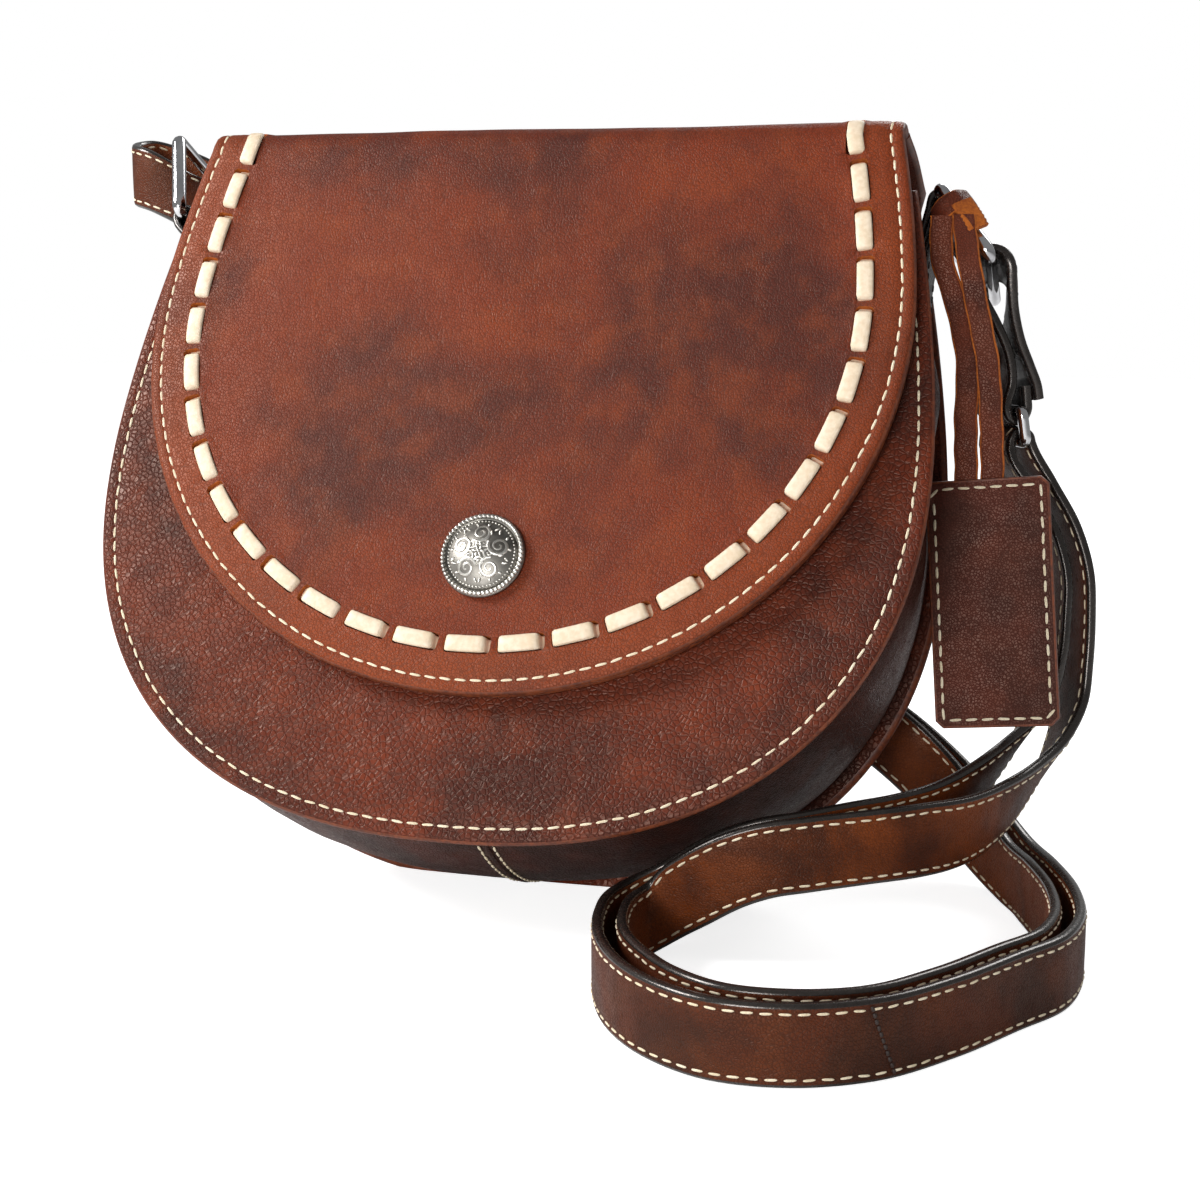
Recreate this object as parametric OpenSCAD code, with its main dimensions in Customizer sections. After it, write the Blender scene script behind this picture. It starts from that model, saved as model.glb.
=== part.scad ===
// Saddle-shaped leather crossbody bag with a laced flap, a doubled strap and a hangtag.
// The front faces -Y. The bag leans back, and its lower rear edge rests on the ground at the origin.

/* [Bag body] */
// Widest width of the front and back panels
panel_w = 256; // [240:1:280]
// Height of the widest point above the bottom edge
belly_h = 118; // [108:1:128]
// Height of the front panel
front_h = 204; // [194:1:210]
// Height of the whole bag along the front panel
bag_h = 225; // [221:1:232]
// Depth of the bag at the bottom
base_depth = 78; // [70:1:88]
// Depth of the bag at the top
top_depth = 40; // [36:1:46]
// Thickness of the panel and flap leather
leather_t = 3; // [2.4:0.1:3.4]
// Thickness of the gusset leather
gusset_t = 2.5; // [1.5:0.1:3]
// How far the gusset is sewn inside the panel edges
gusset_inset = 5; // [4:0.5:8]
// How far the gusset bellies out below
gusset_belly = 6.5; // [2:0.5:9]
// How far the front panel leans back, in degrees
lean = 27.2; // [25:0.1:29]
// How far the lower rear edge is pressed flat
base_squash = 3.6; // [2:0.1:5]

/* [Flap] */
// Widest width of the flap
flap_w = 238; // [226:1:246]
// Height of the flap's widest point
flap_belly_h = 160; // [150:1:170]
// Height of the flap's lower edge
flap_low_h = 41; // [34:1:48]
// How far the flap sits right of the middle
flap_shift = 1.5; // [0:0.1:3]
// Outer radius of the flap's front fold
fold_r = 8; // [6:0.5:10]
// Room between the flap and the front panel for the snap
flap_gap = 2.7; // [2.2:0.1:4]
// Thickness of the flap's backing leather
backing_t = 2.3; // [1.8:0.1:3]
// Width of the cream lace
lace_w = 4.8; // [3.6:0.1:5.4]
// Thickness of the lace
lace_t = 1; // [0.6:0.1:1.2]
// Length of each window that shows the lace
window_len = 12.4; // [11:0.1:13]
// Distance from one lace window to the next
lace_pitch = 15.9; // [15.6:0.1:16.2]
// How far the lace line lies inside the flap's edge
lace_inset = 14.5; // [12:0.5:17]
// Diameter of the domed button
concho_d = 25.4; // [20:0.2:30]
// Height of the button's middle on the flap
concho_h = 82; // [76:1:90]
// Diameter of the magnetic snap
magnet_d = 18; // [14:0.5:20]

/* [Strap and rings] */
// Width of the strap
strap_w = 21; // [19:0.5:21.5]
// Thickness of the strap
strap_t = 3; // [2.4:0.1:3.2]
// How far the strap's loop reaches in front of the bag's rear edge
loop_reach = 134; // [128:1:142]
// Length of the side rings between their bars
ring_len = 28; // [27.6:0.1:30]
// Width of the side rings between their sides
ring_w = 31; // [30.4:0.1:34]
// Diameter of the side rings' thin bars
ring_bar_d = 3.6; // [3:0.1:3.8]
// Diameter of the side rings' thick sides
ring_side_d = 4.8; // [4:0.1:5]
// Height of the right ring's upper bar along the panel
ring_right_h = 211; // [206:0.5:214]
// Height of the left ring's lower bar along the panel
ring_left_h = 205.5; // [202:0.5:207]
// Diameter of the small strap ring's wire
link_d = 3; // [2.4:0.1:3.4]

/* [Hangtag] */
// Width of the hangtag
tag_w = 34; // [30:0.5:37]
// Height of the hangtag
tag_h = 72; // [66:1:78]
// Thickness of each ply of the hangtag
tag_ply = 1.5; // [1:0.1:1.8]
// Cut off each corner of the hangtag
tag_corner = 3; // [1:0.5:6]
// Width of the thong
thong_w = 7; // [5:0.5:8]
// Thickness of the thong
thong_t = 2; // [1.2:0.1:2.2]

/* [Hidden] */

// Clearances and small shared sizes
seat = 0.3;
fit = 0.08;
cut = 1;
round_fn = 64;
ball_fn = 32;

// Shape of the outlines
panel_power = 2.35;
flap_power = 2.05;
taper_power = 1.6;
panel_taper_share = 0.043;
flap_taper_share = 0.039;
panel_taper = panel_taper_share * panel_w;
flap_taper = flap_taper_share * flap_w;
lower_steps = 36;
upper_steps = 6;

// Leans of the planes
panel_angle = atan((base_depth - top_depth) / bag_h);
back_lean = lean - panel_angle;

// Levels and depths in the bag's own frame, where Z runs up the front panel
front_y = -base_depth;
flap_back_y = front_y - flap_gap;
flap_mid_y = flap_back_y - backing_t;
flap_face_y = flap_mid_y - leather_t;
fold_y = flap_face_y + fold_r;
fold_z = bag_h - fold_r;
under_top = bag_h - leather_t - seat;
root_z = under_top / cos(panel_angle) - leather_t * tan(panel_angle);
hinge_y = -bag_h * tan(panel_angle) + leather_t / cos(panel_angle);
side_x = panel_w / 2;
snap_x = 2 * flap_shift;

function unit_of(v) = v / norm(v);

// A point of the bag's frame in the upright frame
function to_world(p) = [p.x, p.y * cos(lean) + p.z * sin(lean),
                        p.z * cos(lean) - p.y * sin(lean) - base_squash];

// A point of the upright frame for a place x, height h along the back panel and distance d behind it
function on_back(x, h, d) = [x, h * sin(back_lean) + d * cos(back_lean),
                             h * cos(back_lean) - d * sin(back_lean) - base_squash];

// A direction on the back panel: r to the right and u up
function along_back(r, u) = [r, u * sin(back_lean), u * cos(back_lean)];

// Lower half of an outline as a rounded square curve, and the tapered sides above it
function lower_x(a, power, angle) = sign(sin(angle)) * a * pow(abs(sin(angle)), 2 / power);
function lower_z(b, mid, power, angle) = mid - b * pow(abs(cos(angle)), 2 / power);
function side_half(a, taper, mid, span, z) = a - taper * pow(max(0, z - mid) / span, taper_power);

function outline(a, b, mid, power, taper, span, top) = concat(
    [for (i = [0:lower_steps]) let (angle = -90 + 180 * i / lower_steps)
        [lower_x(a, power, angle), lower_z(b, mid, power, angle)]],
    [for (i = [1:upper_steps]) let (z = mid + (top - mid) * i / upper_steps)
        [side_half(a, taper, mid, span, z), z]],
    [for (i = [upper_steps:-1:1]) let (z = mid + (top - mid) * i / upper_steps)
        [-side_half(a, taper, mid, span, z), z]]);

function panel_outline(inset, top) = outline(side_x - inset, belly_h - inset, belly_h, panel_power,
                                             panel_taper, front_h - belly_h, top);

function flap_outline(inset, top) = outline(flap_w / 2 - inset, flap_belly_h - flap_low_h - inset,
                                            flap_belly_h, flap_power, flap_taper,
                                            bag_h - flap_belly_h, top);

fold_half = side_half(flap_w / 2, flap_taper, flap_belly_h, bag_h - flap_belly_h, fold_z);

// Places a child drawn in the bag's frame
module leaning() {
    translate([0, 0, -base_squash]) rotate([-lean, 0, 0]) children();
}

// Places a child drawn on the back panel, where Y is the distance behind it
module behind() {
    translate([0, 0, -base_squash]) rotate([-back_lean, 0, 0]) children();
}

// A plate with its outline in X and Z and its front face at the depth y
module plate(y, t) {
    translate([0, y + t, 0]) rotate([90, 0, 0]) linear_extrude(t) children();
}

// A round bar along Y
module bar_y(d, length) {
    rotate([90, 0, 0]) cylinder(d = d, h = length, center = true, $fn = round_fn);
}

// A closed surface through rings of points, each ring one half out and the other half back
module skin(rings) {
    size = len(rings[0]);
    last = (len(rings) - 1) * size;
    half = size / 2;
    polyhedron(
        points = [for (ring = rings) each ring],
        faces = concat(
            [for (j = [0:half - 2]) each [[j, j + 1, size - 2 - j], [j, size - 2 - j, size - 1 - j]]],
            [for (j = [0:half - 2]) each [[last + size - 2 - j, last + j + 1, last + j],
                                          [last + size - 1 - j, last + size - 2 - j, last + j]]],
            [for (a = [0:size:last - size], k = [0:size - 1]) let (n = (k + 1) % size)
                each [[a + k, a + size + k, a + size + n], [a + k, a + size + n, a + n]]]),
        convexity = 8);
}

// Shell

module front_panel() {
    color("#5f3024") leaning() difference() {
        plate(front_y, leather_t) polygon(panel_outline(0, front_h));
        translate([snap_x, front_y + leather_t / 2, concho_h]) bar_y(snap_post_d + 2 * fit, leather_t + cut);
    }
}

module above_ground() {
    intersection() {
        children();
        translate([-panel_w, -panel_w, 0]) cube([2 * panel_w, 2 * panel_w, 2 * panel_w]);
    }
}

module back_panel() {
    color("#5a2d22") above_ground() behind()
        plate(-leather_t, leather_t) polygon(panel_outline(0, root_z));
}

// The gusset runs between the two panels. A section has its outer points from front to back,
// then its inner points from back to front.
gusset_steps = 26;
gusset_side_steps = 9;
gusset_across = 8;
gusset_seam_share = 0.035;
gusset_pinch_share = 0.45;
gusset_belly_power = 0.7;
gusset_seam = gusset_seam_share * panel_w;
gusset_pinch = gusset_pinch_share * gusset_belly;
gusset_front_top = front_h - leather_t / 2;
gusset_back_top = root_z;

// How far the gusset bellies out at a place u, from 0 at the bottom over 1 at the belly to 2 above
function belly_at(u) = u < 1
    ? gusset_belly * pow(cos(90 * u), gusset_belly_power)
    : -gusset_pinch * sin(90 * (u - 1));

function gusset_edge(u, inset, top) = u < 1
    ? [lower_x(side_x - inset, panel_power, 90 * u), lower_z(belly_h - inset, belly_h, panel_power, 90 * u)]
    : let (z = belly_h + (u - 1) * (top - belly_h))
        [side_half(side_x - inset, panel_taper, belly_h, front_h - belly_h, z), z];

function gusset_out(u) = u < 1 ? [lower_x(1, panel_power, 90 * u), -cos(90 * u)] : [1, 0];

// One point of the gusset at place u, a share s of the way back, on the side given by side
function gusset_point(u, s, inset, side) =
    let (f = gusset_edge(u, inset, gusset_front_top),
         b = gusset_edge(u, inset, gusset_back_top),
         out = unit_of(gusset_out(u)) * belly_at(u) * 4 * s * (1 - s),
         front = [f.x, front_y + leather_t, f.y],
         back = [b.x, -b.y * sin(panel_angle) - leather_t * cos(panel_angle),
                 b.y * cos(panel_angle) - leather_t * sin(panel_angle)],
         p = front * (1 - s) + back * s)
    [side * (p.x + out.x), p.y, p.z + out.y];

function gusset_section(u, outer, wall, side) = concat(
    [for (j = [0:gusset_across]) gusset_point(u, j / gusset_across, outer, side)],
    [for (j = [gusset_across:-1:0]) gusset_point(u, j / gusset_across, outer + wall, side)]);

// Places along one half, from the seam place to the top
function gusset_places(start) = concat(
    [for (i = [0:gusset_steps]) start + (1 - start) * i / gusset_steps],
    [for (i = [1:gusset_side_steps]) 1 + i / gusset_side_steps]);

seam_share = asin(pow(gusset_seam / (side_x - gusset_inset), panel_power / 2)) / 90;

function reversed(list) = [for (i = [len(list) - 1:-1:0]) list[i]];

module gusset_left() {
    left_part = reversed([for (u = gusset_places(0)) gusset_section(u, gusset_inset, gusset_t, -1)]);
    right_part = [for (i = [1:3]) gusset_section(seam_share * i / 3, gusset_inset, gusset_t, 1)];
    color("#3c231e") leaning() skin(concat(left_part, right_part));
}

module gusset_right() {
    color("#3c231e") leaning() skin(
        [for (u = gusset_places(seam_share)) gusset_section(u, gusset_inset, gusset_t, 1)]);
}

lining_t = 1;
lining_inset = gusset_inset + gusset_t + seat;
lining_hem = 6;

module lining() {
    places = gusset_places(0);
    band = concat(
        reversed([for (u = places) gusset_section(u, lining_inset, lining_t, -1)]),
        [for (i = [1:len(places) - 1]) gusset_section(places[i], lining_inset, lining_t, 1)]);
    color("#b59a72") {
        leaning() skin(band);
        leaning() difference() {
            plate(front_y + leather_t, lining_t)
                polygon(panel_outline(lining_inset + lining_t + seat, front_h - lining_hem));
            translate([snap_x, front_y + leather_t, concho_h]) bar_y(magnet_d, 2 * lining_t + cut);
        }
        behind() plate(-leather_t - lining_t, lining_t)
            polygon(panel_outline(lining_inset + lining_t + seat, bag_h - 2 * lining_hem));
    }
}

pocket_w_share = 0.5;
pocket_h_share = 0.4;
pocket_z_share = 0.35;
pocket_w = pocket_w_share * panel_w;
pocket_h = pocket_h_share * bag_h;
pocket_z = pocket_z_share * bag_h;
pocket_gap = 2;
pocket_seam = 4;

module slip_pocket() {
    color("#a98d66") behind() {
        plate(-leather_t - lining_t - pocket_gap, pocket_gap) difference() {
            translate([-pocket_w / 2, pocket_z]) square([pocket_w, pocket_h]);
            translate([-pocket_w / 2 + pocket_seam, pocket_z + pocket_seam])
                square([pocket_w - 2 * pocket_seam, pocket_h]);
        }
        plate(-leather_t - 2 * lining_t - pocket_gap, lining_t)
            translate([-pocket_w / 2, pocket_z]) square([pocket_w, pocket_h]);
    }
}

// Flap. It turns up at the rear edge of the arch and straightens at the front fold.

root_drop = 16;
rear_spread = 4.5;

module flap_root() {
    color("#73402a") behind() plate(0, leather_t) intersection() {
        polygon(panel_outline(0, root_z));
        translate([-side_x, root_z - root_drop]) square([panel_w, root_drop]);
    }
}

module flap_top() {
    color("#733726") leaning() translate([flap_shift, 0, bag_h - leather_t]) linear_extrude(leather_t)
        polygon([[-fold_half, fold_y + seat], [fold_half, fold_y + seat],
                 [fold_half + rear_spread, hinge_y], [-fold_half - rear_spread, hinge_y]]);
}

// The lace line: a curve inside the flap's edge, measured from its lowest point
lace_steps = 60;
lace_top = bag_h;
lace_a = flap_w / 2 - lace_inset;
lace_curve = concat(
    [for (i = [0:lace_steps]) let (angle = 90 * i / lace_steps)
        [lower_x(lace_a, flap_power, angle),
         lower_z(flap_belly_h - flap_low_h - lace_inset, flap_belly_h, flap_power, angle)]],
    [for (i = [1:lace_steps]) let (z = flap_belly_h + (lace_top - flap_belly_h) * i / lace_steps)
        [side_half(lace_a, flap_taper, flap_belly_h, bag_h - flap_belly_h, z), z]]);
lace_run = [for (i = 0, s = 0; i < len(lace_curve); i = i + 1,
                 s = s + (i < len(lace_curve) ? norm(lace_curve[i] - lace_curve[i - 1]) : 0)) s];
function lace_x(s) = sign(s)
    * lookup(abs(s), [for (i = [0:len(lace_run) - 1]) [lace_run[i], lace_curve[i].x]]);
function lace_z(s) = lookup(abs(s), [for (i = [0:len(lace_run) - 1]) [lace_run[i], lace_curve[i].y]]);
function lace_angle(s) = let (e = lace_t / 2)
    atan2(lace_z(s + e) - lace_z(s - e), lace_x(s + e) - lace_x(s - e));
lace_side_count = floor((lace_run[len(lace_run) - 1] - window_len / 3) / lace_pitch);
lace_play = 0.25;
lace_proud = 0.9;
lace_low_share = 0.7;

// Rows of windows in the flap's outline plane
module lace_windows(length, width) {
    for (k = [-lace_side_count:lace_side_count]) let (s = k * lace_pitch)
        translate([lace_x(s), lace_z(s)]) rotate(lace_angle(s)) square([length, width], center = true);
}

module flap() {
    color("#733726") leaning() translate([flap_shift, 0, 0]) difference() {
        union() {
            plate(flap_face_y, leather_t) polygon(flap_outline(0, fold_z));
            translate([0, fold_y, fold_z]) rotate([0, 90, 0]) intersection() {
                difference() {
                    cylinder(r = fold_r, h = 2 * fold_half, center = true, $fn = round_fn);
                    cylinder(r = fold_r - leather_t, h = 2 * fold_half + cut, center = true, $fn = round_fn);
                }
                translate([-fold_r - cut, -fold_r - cut, -fold_half])
                    cube([fold_r + cut, fold_r + cut, 2 * fold_half]);
            }
        }
        plate(flap_face_y - cut, leather_t + lace_t + 2 * cut)
            lace_windows(window_len, lace_w + 2 * lace_play);
        translate([flap_shift, flap_mid_y - leather_t / 2, concho_h])
            bar_y(screw_d + 2 * fit, leather_t + cut);
    }
}

// Pockets in the backing hold the stretches of lace that pass under the leather
module flap_backing() {
    pocket_t = lace_t + lace_play;
    pocket_len = lace_pitch + 2 * lace_play;
    color("#6b3a28") leaning() translate([flap_shift, 0, 0]) difference() {
        plate(flap_mid_y, backing_t) polygon(flap_outline(0, fold_z));
        plate(flap_mid_y - cut, pocket_t + cut)
            for (k = [-lace_side_count - 0.5:lace_side_count + 0.5]) let (s = k * lace_pitch)
                translate([lace_x(s), lace_z(s)]) rotate(lace_angle(s))
                    square([pocket_len, lace_w + 2 * lace_play], center = true);
        translate([flap_shift, flap_mid_y, concho_h]) bar_y(screw_head_d + 2 * fit, 2 * screw_head_t);
        translate([flap_shift, flap_back_y, concho_h]) bar_y(snap_post_d + 2 * fit, 2 * backing_t);
    }
}

// The lace rises through each window and passes behind the leather between them
lace_phases_share = [-1, -0.74, -0.66, -0.5, 0, 0.5, 0.66, 0.74];

module flap_lace() {
    half_w = lace_w / 2;
    high_y = flap_face_y - lace_proud;
    low_y = flap_mid_y + fit;
    places = [for (k = [-lace_side_count:lace_side_count], f = lace_phases_share)
                if (k > -lace_side_count || f > -1)
                    [k * lace_pitch + f * lace_pitch / 2, abs(f) > lace_low_share ? low_y : high_y]];
    rings = [for (p = places) let (a = lace_angle(p[0]), across = [-sin(a), cos(a)] * half_w)
        [[lace_x(p[0]) + across.x, p[1], lace_z(p[0]) + across.y],
         [lace_x(p[0]) - across.x, p[1], lace_z(p[0]) - across.y],
         [lace_x(p[0]) - across.x, p[1] + lace_t, lace_z(p[0]) - across.y],
         [lace_x(p[0]) + across.x, p[1] + lace_t, lace_z(p[0]) + across.y]]];
    color("#f5e6c8") leaning() translate([flap_shift, 0, 0]) skin(rings);
}

// Concho: a domed disc with a ring of beads round it

screw_d = 4;
screw_head_d = 10;
screw_head_t = 1;
concho_rim_t = 1.6;
concho_dome = 3.4;
bead_count = 36;
bead_fill_share = 0.92;
bead_d = PI * concho_d / bead_count * bead_fill_share;

module concho() {
    dome_r = (pow(concho_d / 2 - bead_d, 2) + pow(concho_dome, 2)) / (2 * concho_dome);
    color("#b9b6ae") leaning() translate([snap_x, flap_face_y, concho_h]) rotate([90, 0, 0])
        difference() {
            union() {
                cylinder(d = concho_d - bead_d, h = concho_rim_t, $fn = round_fn);
                intersection() {
                    translate([0, 0, concho_rim_t + concho_dome - dome_r])
                        sphere(r = dome_r, $fn = round_fn);
                    translate([0, 0, concho_rim_t / 2])
                        cylinder(d = concho_d - 2 * bead_d, h = dome_r, $fn = round_fn);
                }
                for (i = [0:bead_count - 1]) rotate(i * 360 / bead_count)
                    translate([concho_d / 2 - bead_d / 2, 0, 0])
                        cylinder(d = bead_d, h = concho_rim_t + bead_d / 4, $fn = 8);
            }
            translate([0, 0, -cut]) cylinder(d = screw_d + 2 * fit, h = cut + concho_rim_t, $fn = round_fn);
        }
}

module concho_screw() {
    color("#8c8a84") leaning() translate([snap_x, 0, concho_h]) union() {
        translate([0, flap_mid_y, 0]) rotate([90, 0, 0])
            cylinder(d = screw_d, h = leather_t + concho_rim_t, $fn = round_fn);
        translate([0, flap_mid_y + screw_head_t - fit, 0]) rotate([90, 0, 0])
            cylinder(d = screw_head_d, h = screw_head_t - fit, $fn = round_fn);
    }
}

// Magnetic snap: one disc on the flap's backing and one on the front panel

snap_post_d = 4;
snap_t = (flap_gap - seat) / 2;

module magnet_flap() {
    post = backing_t - screw_head_t - fit;
    color("#9a9a98") leaning() translate([snap_x, flap_back_y + snap_t, concho_h])
        rotate([90, 0, 0]) union() {
            cylinder(d = magnet_d, h = snap_t, $fn = round_fn);
            cylinder(d = snap_post_d, h = snap_t + post, $fn = round_fn);
        }
}

module magnet_front() {
    color("#9a9a98") leaning() translate([snap_x, front_y, concho_h]) rotate([90, 0, 0]) union() {
        cylinder(d = magnet_d, h = snap_t, $fn = round_fn);
        translate([0, 0, -leather_t]) cylinder(d = snap_post_d, h = leather_t + snap_t, $fn = round_fn);
    }
}

washer_share = 0.75;

module magnet_washer() {
    color("#9a9a98") leaning() translate([snap_x, front_y + leather_t, concho_h]) rotate([-90, 0, 0])
        cylinder(d = washer_share * magnet_d, h = lining_t, $fn = round_fn);
}

// Tabs and side rings

ring_mid_share = 1.27;
ring_mid_y = -ring_mid_share * top_depth;
tab_shift = (ring_w - ring_side_d - strap_w) / 2 - 2 * seat;
tab_wall = 2.2;
tab_slack = 1.8;
tab_eye_r = ring_bar_d / 2 + fit;
tab_out_r = tab_eye_r + tab_wall;
tab_foot = 22;
right_bar_share = 1.8;
left_bar_share = 3.4;
ring_right_x = side_half(side_x, panel_taper, belly_h, front_h - belly_h, ring_right_h)
    + right_bar_share * ring_bar_d;
ring_left_x = side_half(side_x, panel_taper, belly_h, front_h - belly_h, ring_left_h)
    + left_bar_share * ring_bar_d;
ring_right_angle = 144;
ring_left_angle = -12;

// A leather strip folded round a ring's bar, with both legs laid down on the gusset
module tab(bar_x, bar_h, mid_y) {
    low_h = bar_h - tab_foot;
    wall_x = side_half(side_x, panel_taper, belly_h, front_h - belly_h, low_h) - gusset_inset + seat;
    foot_t = 2 * tab_wall;
    slope = atan2(bar_x - wall_x - foot_t / 2, tab_foot / 2);
    translate([0, mid_y, 0]) difference() {
        rotate([90, 0, 0]) linear_extrude(strap_w, center = true) union() {
            translate([bar_x, bar_h]) circle(r = tab_out_r, $fn = round_fn);
            translate([wall_x, low_h - tab_foot / 2]) square([foot_t, tab_foot]);
            polygon([[wall_x, low_h + tab_foot / 2], [wall_x, low_h], [wall_x + foot_t, low_h],
                     [bar_x + tab_out_r * cos(slope), bar_h - tab_out_r * sin(slope)],
                     [bar_x - tab_out_r * cos(slope), bar_h + tab_out_r * sin(slope)]]);
        }
        translate([bar_x, 0, bar_h]) bar_y(2 * tab_eye_r, strap_w + cut);
    }
}

module tab_right() {
    color("#32281f") leaning() tab(ring_right_x, ring_right_h, ring_mid_y + tab_shift);
}

module tab_left() {
    color("#32281f") leaning() mirror([1, 0, 0]) tab(ring_left_x, ring_left_h, ring_mid_y - tab_shift);
}

// A rectangular ring from its pivot bar at the origin up to its far bar, with thin bars and thick sides
module wire_ring(length, width, bar_d, side_d) {
    for (h = [0, length]) translate([0, 0, h]) bar_y(bar_d, width);
    for (side = [-1, 1]) translate([0, side * width / 2, 0]) {
        cylinder(d = side_d, h = length, $fn = round_fn);
        for (h = [0, length]) translate([0, 0, h]) sphere(d = side_d, $fn = ball_fn);
    }
}

module ring_right() {
    color("#d8d8da") leaning() translate([ring_right_x, ring_mid_y, ring_right_h])
        rotate([0, ring_right_angle, 0]) wire_ring(ring_len, ring_w, ring_bar_d, ring_side_d);
}

module ring_left() {
    color("#d8d8da") leaning() translate([-ring_left_x, ring_mid_y, ring_left_h])
        rotate([0, ring_left_angle, 0]) wire_ring(ring_len, ring_w, ring_bar_d, ring_side_d);
}

// Places of the rings in the upright frame
ring_right_end = to_world([ring_right_x + ring_len * sin(ring_right_angle), ring_mid_y,
                           ring_right_h + ring_len * cos(ring_right_angle)]);
ring_left_mid = to_world([-ring_left_x + ring_len / 2 * sin(ring_left_angle), ring_mid_y,
                          ring_left_h + ring_len / 2 * cos(ring_left_angle)]);

// Strap. Each row of a route gives the strap's near or upper edge and the direction across it.

// The run of a smooth curve at b on the way from a to c, for a stretch of the length span
function run_at(a, b, c, span) = let (p = norm(edge_of(b) - edge_of(a)), q = norm(edge_of(c) - edge_of(b)))
    p == 0 ? (c - b) * span / q
    : q == 0 ? (b - a) * span / p
    : ((b - a) * q / p + (c - b) * p / q) * span / (p + q);

// A point of the smooth curve at the share t from b to c, with a before them and d after them
function between(a, b, c, d, t) = let (span = norm(edge_of(c) - edge_of(b)))
    b * (1 - 3 * t * t + 2 * t * t * t) + run_at(a, b, c, span) * (t - 2 * t * t + t * t * t)
    + c * (3 * t * t - 2 * t * t * t) + run_at(b, c, d, span) * (t * t * t - t * t);
function smooth(rows, steps) = let (last = len(rows) - 1) concat(
    [for (i = [0:last - 1], k = [0:steps - 1])
        between(rows[max(0, i - 1)], rows[i], rows[i + 1], rows[min(last, i + 2)], k / steps)],
    [rows[last]]);

function edge_of(row) = [row[0], row[1], row[2]];
function across_of(row) = [row[3], row[4], row[5]];
function heading(rows, i) = let (last = len(rows) - 1)
    unit_of(unit_of(edge_of(rows[min(last, i + 1)]) - edge_of(rows[min(last - 1, i)]))
            + unit_of(edge_of(rows[max(1, i)]) - edge_of(rows[max(0, i - 1)])));
function facing(rows, i) = unit_of(cross(heading(rows, i), across_of(rows[i])));

// Four corners of the strap at each row, never below the ground
function strap_rings(rows, width, t) = [for (i = [0:len(rows) - 1])
    let (n = facing(rows, i) * t / 2, w = unit_of(across_of(rows[i])) * width, e = edge_of(rows[i]))
    [for (p = [e + n, e - n, e - n + w, e + n + w]) [p.x, p.y, max(0, p.z)]]];

function part_of(list, from, to) = [for (i = [from:to]) list[i]];

// The small ring that joins the short strap and the doubled strap: near ends of its two bars
link_turn = 30;
link_tilt = -10;
link_side_share = 1.15;
link_side_d = link_side_share * link_d;
across_drop = [-sin(link_turn), cos(link_turn), 0];
link_low_shares = [0.16, 0.27, 0.615];
link_low = [side_x + link_low_shares.x * loop_reach, link_low_shares.y * loop_reach,
            link_low_shares.z * bag_h];
link_turn_r = link_d / 2 + strap_t / 2 + seat;
link_len = 2 * link_turn_r + strap_t + 2 * seat;
link_high = link_low + link_len * [sin(link_tilt) * cos(link_turn), sin(link_tilt) * sin(link_turn),
                                   cos(link_tilt)];

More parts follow.
